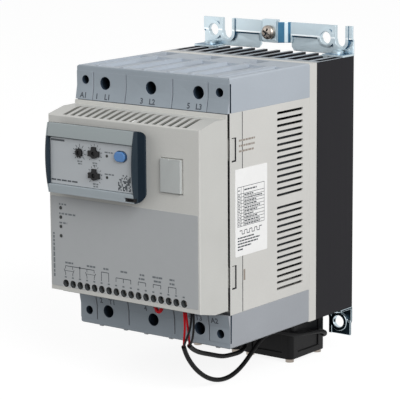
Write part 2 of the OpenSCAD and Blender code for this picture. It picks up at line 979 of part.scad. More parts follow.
module trimmer_bases() {
    placed() color("#2d4f8a")
        for (p = [current_pos, ramp_up_pos, ramp_down_pos])
            difference() {
                box([p[0] - 4.5, p[0] + 4.5], [module_board_y[0] - trimmer_h, module_board_y[0]],
                    [p[1] - 4.5, p[1] + 4.5]);
                rod_y(p[0], p[1], module_board_y[0] - trimmer_h - 1, module_board_y[0] - 0.5,
                      dial_stem_d + 0.6);
            }
}

// The button rests just behind its travel from the switch
switch_front = button_front + button_l + button_travel + 0.3;

module button_switch() {
    placed() color(black_plastic)
        box([button_pos[0] - 3, button_pos[0] + 3], [switch_front, module_board_y[0]],
            [button_pos[1] - 3, button_pos[1] + 3]);
}

// Dial: a knob on a neck through the face, with a stem that turns in the trimmer behind
module trimmer_dial(p) {
    placed() color(black_plastic)
        difference() {
            union() {
                translate([p[0], 0, p[1]])
                    along_y(knob_y[0], knob_y[1])
                        children();
                rod_y(p[0], p[1], knob_y[1] - 0.1, neck_end, dial_neck_d);
                rod_y(p[0], p[1], neck_end - 0.1, stem_end, dial_stem_d);
            }
            rod_y(p[0], p[1], knob_y[0] - 1, knob_y[0] + 0.8, dial_neck_d - 1.6);
        }
}

// Ramp knob from the front: three arms and a short rounded foot
module ramp_knob_outline() {
    circle(d = dial_d - 1);
    square([dial_d + 1.8, dial_d / 2], center = true);
    translate([-dial_d / 4, 0])
        square([dial_d / 2, dial_d * 0.6]);
}

// Current knob from the front: a disc with a row of points round it
module current_knob_outline() {
    circle(d = small_knob_d);
    for (a = [0 : 40 : 320])
        rotate(a)
            polygon([[-0.6, 0], [0.6, 0], [0, small_knob_d / 2 + 0.9]]);
}

module current_dial() trimmer_dial(current_pos) current_knob_outline();
module ramp_up_dial() trimmer_dial(ramp_up_pos) ramp_knob_outline();
module ramp_down_dial() trimmer_dial(ramp_down_pos) ramp_knob_outline();

// Half of the button's section, (radius, depth): a domed cap, and a flange that keeps it behind
// the bezel
function button_section(r) =
    let (
        dome_h = 0.9,
        flange_y = web_y[1] + button_gap - button_front
    )
    concat(
        [for (i = [0 : 6]) let (a = i * 15)
            [r - dome_h + dome_h * sin(a), dome_h - dome_h * cos(a)]],
        [
            [r, flange_y],
            [r + 1, flange_y],
            [r + 1, flange_y + button_flange_t],
            [r - 1.7, flange_y + button_flange_t],
            [r - 1.7, button_l],
            [0, button_l],
            [0, 0]
        ]);

// Two round ends, and a straight piece between them that sinks a hair below their crests
module reset_button() {
    placed() color("#3f78c4")
        translate([button_pos[0], button_front, button_pos[1]]) {
            for (s = [-1, 1])
                translate([s * button_stretch, 0, 0])
                    rotate([-90, 0, 0])
                        rotate_extrude($fn = 64)
                            polygon(button_section(button_d / 2));
            for (s = [-1, 1])
                rotate([90, 0, 90])
                    translate([0, 0, -button_stretch])
                        linear_extrude(2 * button_stretch)
                            polygon([for (p = button_section(button_d / 2 - 0.04)) [p[1], s * p[0]]]);
        }
}

module module_lights() {
    placed() color("#dfe3df")
        for (z = module_light_z)
            rod_y(module_light_x, z, face_y - 0.1, module_board_y[0], module_light_d);
}

module service_port() {
    placed() color(black_plastic)
        difference() {
            box([port_x_range[0] + 0.05, port_x_range[1] - 0.05],
                [module_end_y + 0.1, module_end_y + port_depth],
                [port_z_range[0] + 0.05, port_z_range[1] - 0.05]);
            box([port_x_range[0] + 1.6, port_x_range[1] - 1.6],
                [module_end_y - 1, module_end_y + port_depth - 0.5],
                [port_z_range[0] + 0.7, port_z_range[1] - 0.7]);
        }
}

// Label on the right side, across the seam
label_y = [5.8, 39.2];
label_z = [57, 111.4];
label_t = 0.15;

module rating_label() {
    placed() color("white")
        along_x(half_w, half_w + label_t)
            rounded_outline(label_y, label_z, 0.8);
}

// Bracket: pressed sheet with raised rims round its holes and two feet, and a hat for the earth
// screw on the upper one
bracket_x = half_w + 0.4;
bracket_top = body_h + bracket_h;
bracket_foot_z = [body_h, body_h + sheet];
joggle_z = body_h + 10.4;
joggle = 1.2;
hole_z = body_h + 10.8;
hole_x = [-hole_pitch + 40, 40];
slot_x = [40 - hole_pitch + 11.5, 51.5];
slot_w = 7.7;
slot_bottom = body_h + 5.6;
rim_w = 2.4;
hat_x = [-13.2, 11.8];
hat_top_x = [-6.5, 5.1];
hat_rise = 5.6;
hat_z = body_h + 5.6;
notch_x = [-16.4, 14.6];
foot_x = [44, bracket_x];
foot_y = panel_y - 13.6;
lug_x = [44.8, 48.4];
lug_l = 6;
earth_pos = [(hat_top_x[0] + hat_top_x[1]) / 2, body_h + 12.6];
earth_d = 5;

module bracket_openings() {
    for (x = hole_x)
        translate([x, hole_z])
            circle(d = hole_d);
    for (x = slot_x) {
        translate([x, slot_bottom + slot_w / 2])
            circle(d = slot_w);
        translate([x - slot_w / 2, slot_bottom + slot_w / 2])
            square([slot_w, bracket_h]);
    }
}

// Flat of the bracket, (x, z), open in the middle where it has a hat
module bracket_sheet(has_hat) {
    difference() {
        translate([-bracket_x, body_h + 0.4])
            square([2 * bracket_x, bracket_h - 0.4]);
        if (has_hat)
            translate([hat_x[0], body_h])
                square([hat_x[1] - hat_x[0], bracket_h + 1]);
        polygon([
            [notch_x[0], body_h - 1],
            [hat_x[0] - 0.1, body_h + 3],
            [hat_x[1] + 0.1, body_h + 3],
            [notch_x[1], body_h - 1]
        ]);
        bracket_openings();
    }
}

module bracket_rims() {
    difference() {
        intersection() {
            union() {
                for (x = hole_x)
                    translate([x, hole_z])
                        circle(d = hole_d + 2 * rim_w);
                for (x = slot_x) {
                    translate([x, slot_bottom + slot_w / 2])
                        circle(d = slot_w + 2 * rim_w);
                    translate([x - slot_w / 2 - rim_w, slot_bottom + slot_w / 2])
                        square([slot_w + 2 * rim_w, bracket_h]);
                }
            }
            translate([-bracket_x, body_h + 0.4])
                square([2 * bracket_x, bracket_h - 0.4]);
        }
        bracket_openings();
    }
}

// Hat in plan, (x, y): the sheet bends forward, across and back
module hat_outline() {
    back_y = panel_y - joggle;
    polygon([
        [hat_x[0] - 1, back_y],
        [hat_x[0] - 1, back_y - sheet],
        [hat_x[0], back_y - sheet],
        [hat_top_x[0], back_y - hat_rise - sheet],
        [hat_top_x[1], back_y - hat_rise - sheet],
        [hat_x[1], back_y - sheet],
        [hat_x[1] + 1, back_y - sheet],
        [hat_x[1] + 1, back_y],
        [hat_x[1] - 0.4, back_y],
        [hat_top_x[1] - 0.9, back_y - hat_rise],
        [hat_top_x[0] + 0.9, back_y - hat_rise],
        [hat_x[0] + 0.4, back_y]
    ]);
}

module bracket_foot() {
    difference() {
        union() {
            box(foot_x, [foot_y, panel_y], bracket_foot_z);
            box(foot_x, [panel_y - sheet, panel_y], [body_h, body_h + 2]);
            box(lug_x, [foot_y, foot_y + sheet], [body_h - lug_l, body_h + 0.5]);
        }
        translate([port_x, port_y, body_h - 1])
            cylinder(d = port_bore + 0.4, h = sheet + 2);
    }
}

// Bracket from the side, (y, z): a slope leads from the lower plane to the upper one
module bracket_side_outline() {
    polygon([
        [panel_y, body_h],
        [panel_y, joggle_z - 0.4],
        [panel_y - joggle, joggle_z + joggle - 0.4],
        [panel_y - joggle, bracket_top],
        [panel_y - joggle - sheet, bracket_top],
        [panel_y - joggle - sheet, joggle_z + joggle - 1],
        [panel_y - sheet, joggle_z - 1],
        [panel_y - sheet, body_h]
    ]);
}

module bracket(has_hat) {
    intersection() {
        along_x(-bracket_x, bracket_x)
            bracket_side_outline();
        along_y(panel_y - joggle - sheet - 1, panel_y + 1)
            bracket_sheet(has_hat);
    }
    along_y(panel_y - joggle - sheet - 0.8, panel_y - sheet / 2)
        bracket_rims();
    if (has_hat)
        difference() {
            along_z(hat_z, bracket_top)
                hat_outline();
            rod_y(earth_pos[0], earth_pos[1], panel_y - 20, panel_y, earth_d + 0.3);
        }
    bracket_foot();
    mirror([1, 0, 0])
        bracket_foot();
}

// The lower bracket is the same pressing turned end for end, left flat where the fans stand
module turned_end_for_end() {
    translate([0, 0, body_h])
        rotate([0, 180, 0])
            children();
}

module top_bracket() {
    placed() color(zinc)
        bracket(true);
}

module bottom_bracket() {
    placed() color(zinc)
        turned_end_for_end()
            bracket(false);
}

// Foot screws, in the ports at both ends of the heatsink
foot_screw_d = port_bore - 0.1;
foot_screw_l = 10;
foot_head_d = 8;
foot_head_h = 1.7;

module foot_screw_pair() {
    for (s = [-1, 1])
        translate([s * port_x, port_y, body_h])
            difference() {
                union() {
                    translate([0, 0, -foot_screw_l])
                        cylinder(d = foot_screw_d, h = foot_screw_l + sheet);
                    translate([0, 0, sheet])
                        cylinder(d = foot_head_d, h = foot_head_h);
                }
                for (a = [0, 90])
                    rotate([0, 0, a])
                        translate([0, 0, sheet + foot_head_h])
                            cube([1.2, 4.6, 2.6], center = true);
            }
}

module bracket_screws() {
    placed() color(steel) {
        foot_screw_pair();
        at_lower_end()
            foot_screw_pair();
    }
}

// Earth terminal: square clamp under a pan-head screw on the upper bracket's hat
earth_clamp_w = 11.4;
earth_clamp_t = 1.6;
earth_clamp_lip = 2;
earth_head_d = 9.5;
earth_head_h = 3.6;
earth_face_y = panel_y - joggle - sheet - hat_rise;

module earth_clamp() {
    placed() color(zinc)
        difference() {
            union() {
                box([earth_pos[0] - earth_clamp_w / 2, earth_pos[0] + earth_clamp_w / 2],
                    [earth_face_y - earth_clamp_t, earth_face_y],
                    [earth_pos[1] - earth_clamp_w / 2, earth_pos[1] + earth_clamp_w / 2]);
                box([earth_pos[0] - earth_clamp_w / 2, earth_pos[0] + earth_clamp_w / 2],
                    [earth_face_y - earth_clamp_t, earth_face_y + 3],
                    [bracket_top + 0.1, bracket_top + 0.1 + earth_clamp_t]);
                box([earth_pos[0] - earth_clamp_w / 2, earth_pos[0] + earth_clamp_w / 2],
                    [earth_face_y - earth_clamp_t, earth_face_y],
                    [earth_pos[1], bracket_top + 0.1 + earth_clamp_t]);
            }
            rod_y(earth_pos[0], earth_pos[1], earth_face_y - earth_clamp_lip - 1, earth_face_y + 1,
                  earth_d + 0.3);
        }
}

module earth_screw() {
    head_y = earth_face_y - earth_clamp_t;
    placed() color("#a08f80")
        difference() {
            translate([earth_pos[0], head_y, earth_pos[1]])
                rotate([90, 0, 0])
                    rotate_extrude($fn = 64)
                        polygon([
                            [0, -earth_clamp_t - sheet - 4],
                            [earth_d / 2, -earth_clamp_t - sheet - 4],
                            [earth_d / 2, 0],
                            [earth_head_d / 2, 0],
                            [earth_head_d / 2, earth_head_h * 0.5],
                            [earth_head_d / 2 - 0.5, earth_head_h * 0.75],
                            [earth_head_d / 2 - 1.6, earth_head_h * 0.95],
                            [0, earth_head_h]
                        ]);
            for (a = [20, 110])
                translate([earth_pos[0], head_y - earth_head_h, earth_pos[1]])
                    rotate([0, a, 0])
                        cube([1.3, 3.6, 5.6], center = true);
        }
}

// Fans: a plate under the heatsink carries two fans that blow up between the fins
fan_x = 22;
fan_y = 112;
fan_plate_t = 2;
fan_top = -fan_plate_t;
fan_bottom = fan_top - fan_h;
fan_bore = 37.4;
fan_hole_pitch = 32;
fan_corner = 3.6;
fan_hub_d = 20;
hub_plate = 2.4;
bearing_d = 8;
shaft_d = 3;
fan_panel = 0.9;
cable_boss = [5, 4.4, 6];
rotor_gap = 0.7;
blade_t = 1.1;
blade_twist = 38;
plate_x = 43.4;
plate_y_range = [housing_d + 0.4, panel_y - 2];
right_exit = [24, 134.2, -23];
left_exit = [-3.6, 89.8, -17];

module fan_plate() {
    placed() color(zinc)
        difference() {
            box([-plate_x, plate_x], plate_y_range, [-fan_plate_t, 0]);
            for (s = [-1, 1]) {
                translate([s * fan_x, fan_y, -fan_plate_t - 1])
                    cylinder(d = fan_bore, h = fan_plate_t + 2, $fn = 72);
                translate([s * plate_screw_x, plate_screw_y, -fan_plate_t - 1])
                    cylinder(d = 3.2, h = fan_plate_t + 2);
                for (dx = [-1, 1], dy = [-1, 1])
                    translate([s * fan_x + dx * fan_hole_pitch / 2, fan_y + dy * fan_hole_pitch / 2,
                               -fan_plate_t - 1])
                        cylinder(d = 3.2, h = fan_plate_t + 2);
            }
        }
}

module fan_frame() {
    half = fan_w / 2;
    difference() {
        along_z(fan_bottom, fan_top)
            rounded_outline([-half, half], [-half, half], fan_corner);
        translate([0, 0, fan_bottom - 1])
            cylinder(d = fan_bore, h = fan_h + 2, $fn = 72);
        for (dx = [-1, 1], dy = [-1, 1])
            translate([dx * fan_hole_pitch / 2, dy * fan_hole_pitch / 2, fan_bottom - 1])
                cylinder(d = 3.4, h = fan_h + 2);
        for (a = [0 : 90 : 270])
            rotate([0, 0, a])
                box([-half + 8, half - 8], [half - fan_panel, half + 1],
                    [fan_bottom + 4, fan_top - 4]);
    }
    translate([0, 0, fan_bottom])
        cylinder(d = fan_hub_d, h = hub_plate);
    difference() {
        translate([0, 0, fan_bottom])
            cylinder(d = bearing_d, h = fan_h - 8);
        translate([0, 0, fan_bottom + hub_plate])
            cylinder(d = shaft_d + 0.6, h = fan_h);
    }
    for (a = [45 : 90 : 315])
        rotate([0, 0, a])
            box([fan_hub_d / 2 - 1, fan_bore / 2 + 0.6], [-1.2, 1.2],
                [fan_bottom, fan_bottom + hub_plate]);
}

// Boss on a frame's side where its cable goes in
module fan_cable_boss(exit, back) {
    box([exit[0] - cable_boss[0], exit[0]],
        back ? [fan_y + fan_w / 2 - fan_panel - 0.1, exit[1] + cable_boss[1] / 2]
             : [exit[1] - cable_boss[1] / 2, fan_y - fan_w / 2 + fan_panel + 0.1],
        [exit[2] - cable_boss[2] / 2, exit[2] + cable_boss[2] / 2]);
}

module right_fan_frame() {
    placed() color(black_plastic) {
        translate([fan_x, fan_y, 0])
            fan_frame();
        fan_cable_boss(right_exit, true);
    }
}

module left_fan_frame() {
    placed() color(black_plastic) {
        translate([-fan_x, fan_y, 0])
            fan_frame();
        fan_cable_boss(left_exit, false);
    }
}

// Rotor: a cup over the bearing with twisted blades
module fan_rotor(x) {
    cup_z = [fan_bottom + hub_plate + rotor_gap, fan_top - 2.5];
    blade_z = [cup_z[0] + 1.5, cup_z[1] - 1];
    placed() color("#222326")
        translate([x, fan_y, 0]) {
            difference() {
                translate([0, 0, cup_z[0]])
                    cylinder(d = fan_hub_d, h = cup_z[1] - cup_z[0]);
                translate([0, 0, cup_z[0] - 1])
                    cylinder(d = fan_hub_d - 4, h = cup_z[1] - cup_z[0] - 1);
            }
            translate([0, 0, fan_bottom + hub_plate + 0.5])
                cylinder(d = shaft_d, h = cup_z[1] - fan_bottom - hub_plate - 1);
            for (i = [0 : blades - 1])
                rotate([0, 0, i * 360 / blades])
                    translate([0, 0, blade_z[0]])
                        linear_extrude(height = blade_z[1] - blade_z[0], twist = blade_twist,
                                       slices = 5, segments = 4)
                            translate([fan_hub_d / 2 - 0.5, -blade_t / 2])
                                square([fan_bore / 2 - rotor_gap - fan_hub_d / 2 + 0.5, blade_t]);
        }
}

module left_fan_rotor() fan_rotor(-fan_x);
module right_fan_rotor() fan_rotor(fan_x);

// Screws that hold the fans to the plate and the plate to the flange frame
fan_screw_d = 3;
fan_head_d = 5.6;
fan_head_h = 2.4;

module pan_screw(z0, z1, d, head_d, head_h) {
    translate([0, 0, z0 - head_h])
        difference() {
            cylinder(d = head_d, h = head_h);
            for (a = [0, 90])
                rotate([0, 0, a])
                    cube([0.9, 3.2, 2], center = true);
        }
    translate([0, 0, z0])
        cylinder(d = d, h = z1 - z0);
}

module fan_screws() {
    placed() color(steel)
        for (s = [-1, 1]) {
            for (dx = [-1, 1], dy = [-1, 1])
                translate([s * fan_x + dx * fan_hole_pitch / 2, fan_y + dy * fan_hole_pitch / 2, 0])
                    pan_screw(fan_bottom, -0.2, fan_screw_d, fan_head_d, fan_head_h);
            translate([s * plate_screw_x, plate_screw_y, 0])
                pan_screw(-fan_plate_t, plate_screw_l - 0.4, plate_screw_d - 0.1, 5, 1.8);
        }
}

// Cords: routes in the same measure as the housing, from the control terminals to the fans
cable_d = 3;
lead_d = 1.4;
link_d = 2.4;
lead_top = strip_z[0] + wire_hole_l;
right_cable_route = [
    [35.5, -15, 1.5], [34, -11, -4], [33, -6, -10], [32.4, 1, -17], [32.2, 9, -23],
    [32.3, 17, -27.2], [32.6, 25, -29.6], [32.8, 33, -30.2], [33, 41, -29], [33, 49, -26],
    [32.8, 56, -22.2], [32.4, 63, -17.8], [32.6, 70, -13], [35, 76, -9], [40, 81, -8],
    [44, 87, -11], [45, 95, -13], [45, 105, -14], [45, 115, -15], [45, 123, -16],
    [44.5, 128, -18], [42.5, 131.5, -20.5], [38, 133.5, -22], [31, 134.2, -23], right_exit
];
left_cable_route = [
    [38, -12.5, 2], [35.5, -6, -2], [34, 2, -6], [33, 11, -9], [33, 20, -12], [33, 29, -15],
    [32, 38, -16], [31, 47, -17], [28, 56, -18], [24, 65, -18], [18, 73, -18], [11, 81, -18],
    [4, 87, -17], left_exit
];
right_red_route = [
    [40.2, wire_y, lead_top], [40.2, wire_y, 24], [40.5, -20, 18], [39, -18.5, 11],
    [36.8, -16.5, 5], [35.2, -14.4, 1.6]
];
right_black_route = [
    [46, wire_y, lead_top], [46, wire_y, 24], [45, -20, 17], [42, -18.5, 11],
    [38.5, -17, 5.8], [36.2, -15.4, 2.2]
];
left_red_route = [
    [41.8, wire_y, lead_top], [41.8, wire_y, 24], [42, -19.5, 18], [41, -17, 11],
    [39.4, -14.5, 6], [37.8, -12, 2.4]
];
left_black_route = [
    [47.6, wire_y, lead_top], [47.6, wire_y, 24], [47, -19.5, 17], [44.5, -17, 10],
    [41, -14.2, 5], [38.7, -12.6, 2.6]
];
link_route = [
    [control_x(11), wire_y, lead_top], [control_x(11), wire_y, 27], [18.5, wire_y, 23.6],
    [20.5, wire_y, 22], [22.5, wire_y, 23.6], [control_x(12), wire_y, 27],
    [control_x(12), wire_y, lead_top]
];

function unit(v) = v / norm(v);

// Point of a smooth curve through four neighbouring route points
function curve_point(a, b, c, d, t) = 0.5 * (2 * b + (c - a) * t
    + (2 * a - 5 * b + 4 * c - d) * t * t + (3 * b - a - 3 * c + d) * t * t * t);

function route_point(r, i) = i < 0 ? 2 * r[0] - r[1]
    : i >= len(r) ? 2 * r[len(r) - 1] - r[len(r) - 2] : r[i];

function smooth_route(r, steps) = concat(
    [for (i = [0 : len(r) - 2], k = [0 : steps - 1])
        curve_point(route_point(r, i - 1), r[i], r[i + 1], route_point(r, i + 2), k / steps)],
    [r[len(r) - 1]]);

// Direction of the route at one of its points
function heading(r, i) = unit(r[min(i + 1, len(r) - 1)] - r[max(i - 1, 0)]);

// Ring of points round the route, square to its direction
function ring(p, dir, side, radius, sides) =
    let (u = unit(cross(dir, side)), v = cross(dir, u))
        [for (k = [0 : sides - 1]) p + radius * (cos(360 * k / sides) * u + sin(360 * k / sides) * v)];

module cord(route, d, side, steps = 1, sides = 8) {
    r = smooth_route(route, steps);
    n = len(r);
    points = [for (i = [0 : n - 1]) each ring(r[i], heading(r, i), side, d / 2, sides)];
    walls = [for (i = [0 : n - 2], k = [0 : sides - 1])
        [i * sides + k, i * sides + (k + 1) % sides,
         (i + 1) * sides + (k + 1) % sides, (i + 1) * sides + k]];
    first = [for (k = [sides - 1 : -1 : 0]) k];
    last = [for (k = [0 : sides - 1]) (n - 1) * sides + k];
    polyhedron(points, concat(walls, [first], [last]), convexity = 6);
}

module right_fan_cable() placed() color(black_plastic) cord(right_cable_route, cable_d, [0, 0, 1]);
module left_fan_cable() placed() color(black_plastic) cord(left_cable_route, cable_d, [0, 0, 1]);
module right_red_lead() placed() color("#b3202a") cord(right_red_route, lead_d, [0, 1, 0]);
module right_black_lead() placed() color(black_plastic) cord(right_black_route, lead_d, [0, 1, 0]);
module left_red_lead() placed() color("#b3202a") cord(left_red_route, lead_d, [0, 1, 0]);
module left_black_lead() placed() color(black_plastic) cord(left_black_route, lead_d, [0, 1, 0]);
module link_wire() placed() color("#b3202a") cord(link_route, link_d, [0, 1, 0]);

heatsink();
flange_frame();
rear_housing();
front_frame();
upper_terminal_block();
lower_terminal_block();
power_screws();
clamp_plates();
upper_busbars();
lower_busbars();
aux_terminal_screws();
thyristor_module_1();
thyristor_module_2();
thyristor_module_3();
thyristor_screws();
bypass_relay_1();
bypass_relay_2();
bypass_relay_3();
power_board();
control_board();
board_spacers();
front_cover();
cover_overlay();
access_hatch();
status_light_pipes();
control_terminal_strip();
control_terminal_screws();
module_body();
module_bezel();
module_face();
module_board();
trimmer_bases();
button_switch();
current_dial();
ramp_up_dial();
ramp_down_dial();
reset_button();
module_lights();
service_port();
rating_label();
top_bracket();
bottom_bracket();
bracket_screws();
earth_clamp();
earth_screw();
fan_plate();
left_fan_frame();
right_fan_frame();
left_fan_rotor();
right_fan_rotor();
fan_screws();
right_fan_cable();
left_fan_cable();
right_red_lead();
right_black_lead();
left_red_lead();
left_black_lead();
link_wire();
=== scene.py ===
# %% [markdown]
# # A soft starter, dressed in Blender
#
# A soft starter feeds a motor through thyristors, so that it runs up gently. This one is a
# light-grey housing between two blue-grey terminal blocks, on a black heatsink with two fans.
# The CAD model already has every solid in its place. This lesson loads it as a fixed frame, and
# then adds what solids can't have: broken edges, print, cords, finishes, light and a camera.

# %% Load the frame
import json
import math
import random

import bmesh
import bpy
from mathutils import Matrix, Vector

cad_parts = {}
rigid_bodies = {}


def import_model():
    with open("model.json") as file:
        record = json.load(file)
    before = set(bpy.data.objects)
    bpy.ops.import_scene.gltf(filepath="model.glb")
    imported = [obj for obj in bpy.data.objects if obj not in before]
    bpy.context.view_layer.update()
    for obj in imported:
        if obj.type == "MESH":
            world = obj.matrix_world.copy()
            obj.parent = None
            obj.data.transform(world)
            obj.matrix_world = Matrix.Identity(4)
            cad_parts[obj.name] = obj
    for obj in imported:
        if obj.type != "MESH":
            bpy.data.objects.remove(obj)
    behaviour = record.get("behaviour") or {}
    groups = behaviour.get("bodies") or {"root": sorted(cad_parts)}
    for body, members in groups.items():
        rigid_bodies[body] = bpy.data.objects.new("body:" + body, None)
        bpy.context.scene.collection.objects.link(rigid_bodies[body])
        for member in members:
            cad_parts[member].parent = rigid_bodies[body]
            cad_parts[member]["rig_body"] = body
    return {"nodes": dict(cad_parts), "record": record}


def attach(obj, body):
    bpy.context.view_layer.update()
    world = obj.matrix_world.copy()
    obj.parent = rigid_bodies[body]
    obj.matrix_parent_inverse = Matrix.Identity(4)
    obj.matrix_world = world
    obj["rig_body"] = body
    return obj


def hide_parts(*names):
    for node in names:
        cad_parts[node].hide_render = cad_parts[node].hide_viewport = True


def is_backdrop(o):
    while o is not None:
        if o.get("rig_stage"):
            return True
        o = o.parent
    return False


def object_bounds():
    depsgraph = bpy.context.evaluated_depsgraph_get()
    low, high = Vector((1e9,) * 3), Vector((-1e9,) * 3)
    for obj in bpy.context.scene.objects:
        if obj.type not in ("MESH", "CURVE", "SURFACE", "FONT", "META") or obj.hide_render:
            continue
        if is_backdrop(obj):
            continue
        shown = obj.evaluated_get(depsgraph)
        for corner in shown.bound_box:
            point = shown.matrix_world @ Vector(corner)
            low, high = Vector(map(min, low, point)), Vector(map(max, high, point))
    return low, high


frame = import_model()
nodes = frame["nodes"]
slot_of = {s["node"]: s["material_slot"] for s in frame["record"]["subparts"]}
cad_low, cad_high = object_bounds()

# %% [markdown]
# Sizes are easier to think of in millimetres, from the terminal face back and from the lower
# cable face up, as a fitter would measure them on the bench. One small function turns such a
# point into the frame's metres, whose origin is in the middle of the mounting plane.

# %% Millimetres on the bench to metres in the frame
MM = 0.001
FRAME_ORIGIN = Vector((0.0, 137.0, 84.0))


def at(x, y, z):
    return (Vector((x, y, z)) - FRAME_ORIGIN) * MM


print("terminal face, lower middle:", tuple(round(v, 4) for v in at(0, 0, 0)))

# %% [markdown]
# Every piece below is put in the scene in the same way: it becomes an object, it rides on the body
# that carries it, and it may stand for a solid. Writing these steps once, as small functions, keeps
# the later cells short.

# %% Pieces and what carries them
def new_object(name, data):
    thing = bpy.data.objects.new(name, data)
    bpy.context.scene.collection.objects.link(thing)
    return thing


def carried(piece, body, slot, *replaced):
    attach(piece, body)
    if replaced:
        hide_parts(*replaced)
    return piece


def stands_for(piece, node):
    return carried(piece, nodes[node]["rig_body"], slot_of[node], node)


print("material slots in the record:", len(set(slot_of.values())))

# %% [markdown]
# The camera looks from the right and a little from above, through a long lens, so that upright
# edges stay nearly upright. Its place could be found by eye, but a camera that was fitted to the
# corners of the object repeats the photograph's view exactly, and the numbers are few.

# %% Camera
turn, tilt, roll = (math.radians(a) for a in (37.259, 10.927, -0.375))
IMAGE_PX = 400
FOCAL_PX = 2052.44
aside, above, away = 29.277, 85.634, 1297.246  # from the bench's zero point, in millimetres

back = Vector((math.sin(turn) * math.cos(tilt), -math.cos(turn) * math.cos(tilt), math.sin(tilt)))
level = Vector((math.cos(turn), math.sin(turn), 0.0))
upright = back.cross(level)
right = math.cos(roll) * level + math.sin(roll) * upright
up = math.cos(roll) * upright - math.sin(roll) * level

camera = new_object("camera", bpy.data.cameras.new("camera"))
camera.data.lens = FOCAL_PX / IMAGE_PX * camera.data.sensor_width
placed = Matrix((right, up, back)).transposed().to_4x4()
placed.translation = at(*(back * away + right * aside + up * above))
camera.matrix_world = placed
bpy.context.scene.camera = camera
print("lens:", round(camera.data.lens, 1), "mm")

# %% [markdown]
# Two fan cables hang from the control terminals, under the lower terminal block and back to the
# fans. Each is a black sheath that ends in a red and a black conductor. A cord could be a mesh
# tube, but a curve with a round bevel keeps its centre line, which is what a cord is measured on.
# The route's points guide a smooth curve that starts and ends on them and passes the others within
# half a millimetre, without a kink.

# %% Cords
CABLE_MM, LEAD_MM, LINK_MM = 3.0, 1.4, 2.4
ROUTES = {
    "right_fan_cable": (CABLE_MM, [
        (24, 134.2, -23), (31, 134.2, -23), (38, 133.5, -22), (42.5, 131.5, -20.5),
        (44.5, 128, -18), (45, 123, -16), (45, 115, -15), (45, 105, -14), (45, 95, -13),
        (44, 87, -11), (40, 81, -8), (35, 76, -9), (32.6, 70, -13), (32.4, 63, -17.8),
        (32.8, 56, -22.2), (33, 49, -26), (33, 41, -29), (32.8, 33, -30.2), (32.6, 25, -29.6),
        (32.3, 17, -27.2), (32.2, 9, -23), (32.4, 1, -17), (33, -6, -10), (34, -11, -4),
        (35.5, -15, 1.5)]),
    "left_fan_cable": (CABLE_MM, [
        (-3.6, 89.8, -17), (4, 87, -17), (11, 81, -18), (18, 73, -18), (24, 65, -18),
        (28, 56, -18), (31, 47, -17), (32, 38, -16), (33, 29, -15), (33, 20, -12), (33, 11, -9),
        (34, 2, -6), (35.5, -6, -2), (38, -12.5, 2)]),
    "right_red_lead": (LEAD_MM, [
        (40.2, -20.5, 31), (40.2, -20.5, 24), (40.5, -20, 18), (39, -18.5, 11),
        (36.8, -16.5, 5), (35.2, -14.4, 1.6)]),
    "right_black_lead": (LEAD_MM, [
        (46, -20.5, 31), (46, -20.5, 24), (45, -20, 17), (42, -18.5, 11), (38.5, -17, 5.8),
        (36.2, -15.4, 2.2)]),
    "left_red_lead": (LEAD_MM, [
        (41.8, -20.5, 31), (41.8, -20.5, 24), (42, -19.5, 18), (41, -17, 11),
        (39.4, -14.5, 6), (37.8, -12, 2.4)]),
    "left_black_lead": (LEAD_MM, [
        (47.6, -20.5, 31), (47.6, -20.5, 24), (47, -19.5, 17), (44.5, -17, 10),
        (41, -14.2, 5), (38.7, -12.6, 2.6)]),
    "link_wire": (LINK_MM, [
        (17.625, -20.5, 31), (17.625, -20.5, 27), (18.5, -20.5, 23.6), (20.5, -20.5, 22),
        (22.5, -20.5, 23.6), (23.5, -20.5, 27), (23.5, -20.5, 31)]),
}
print("routes:", len(ROUTES))

# %% [markdown]
# A line drawn straight from point to point would have a kink at each. So between two points the
# curve is a mix of the four nearest ones, a cubic B-spline, and a point is added at each end, so
# that the curve starts and ends where the route does. The link at the control terminals is too short
# and stiff to be a free cord.

# %% Curves along the routes
def smooth_route(route, steps=4):
    p = [at(*q) for q in route]
    p = [2 * p[0] - p[1], *p, 2 * p[-1] - p[-2]]
    line = []
    for a, b, c, d in zip(p, p[1:], p[2:], p[3:]):
        for k in range(steps):
            t = k / steps
            line.append((a * (1 - t) ** 3 + b * (3 * t ** 3 - 6 * t * t + 4)
                         + c * (3 * t + 3 * t * t - 3 * t ** 3 + 1) + d * t ** 3) / 6)
    return line + [p[-2]]


def cord_piece(node, diameter, route):
    line = smooth_route(route)
    curve = bpy.data.curves.new(node + "_cord", "CURVE")
    curve.dimensions = "3D"
    curve.bevel_depth = 1.0
    curve.bevel_resolution = 4
    curve.use_fill_caps = True
    spline = curve.splines.new("POLY")
    spline.points.add(len(line) - 1)
    for point, place in zip(spline.points, line):
        point.co = (*place, 1.0)
        point.radius = diameter * MM / 2
    piece = stands_for(new_object(node + "_cord", curve), node)
    return piece, line, sum((b - a).length for a, b in zip(line, line[1:]))


cords = {}
for node, (diameter, route) in ROUTES.items():
    cords[node], line, length = cord_piece(node, diameter, route)
    print(node, round(length * 1000, 1), "mm")

# %% [markdown]
# Colours are easier to read as the hex values of a paint program, but shaders count in linear
# light, so one function turns the one into the other. A second small function adds a shader or
# geometry node with its settings and links, so that each finish below reads as a short list.

# %% Colour and node helpers
def linear(hex_colour, level=1.0):
    parts = [int(hex_colour[i:i + 2], 16) / 255 for i in (1, 3, 5)]
    light = [c / 12.92 if c <= 0.04045 else ((c + 0.055) / 1.055) ** 2.4 for c in parts]
    return (*(min(c * level, 1.0) for c in light), 1.0)


def add(tree, kind, inputs=None, **settings):
    node = tree.nodes.new(kind)
    for key, value in settings.items():
        setattr(node, key, value)
    for key, value in (inputs or {}).items():
        if isinstance(value, bpy.types.NodeSocket):
            tree.links.new(value, node.inputs[key])
        else:
            node.inputs[key].default_value = value
    return node


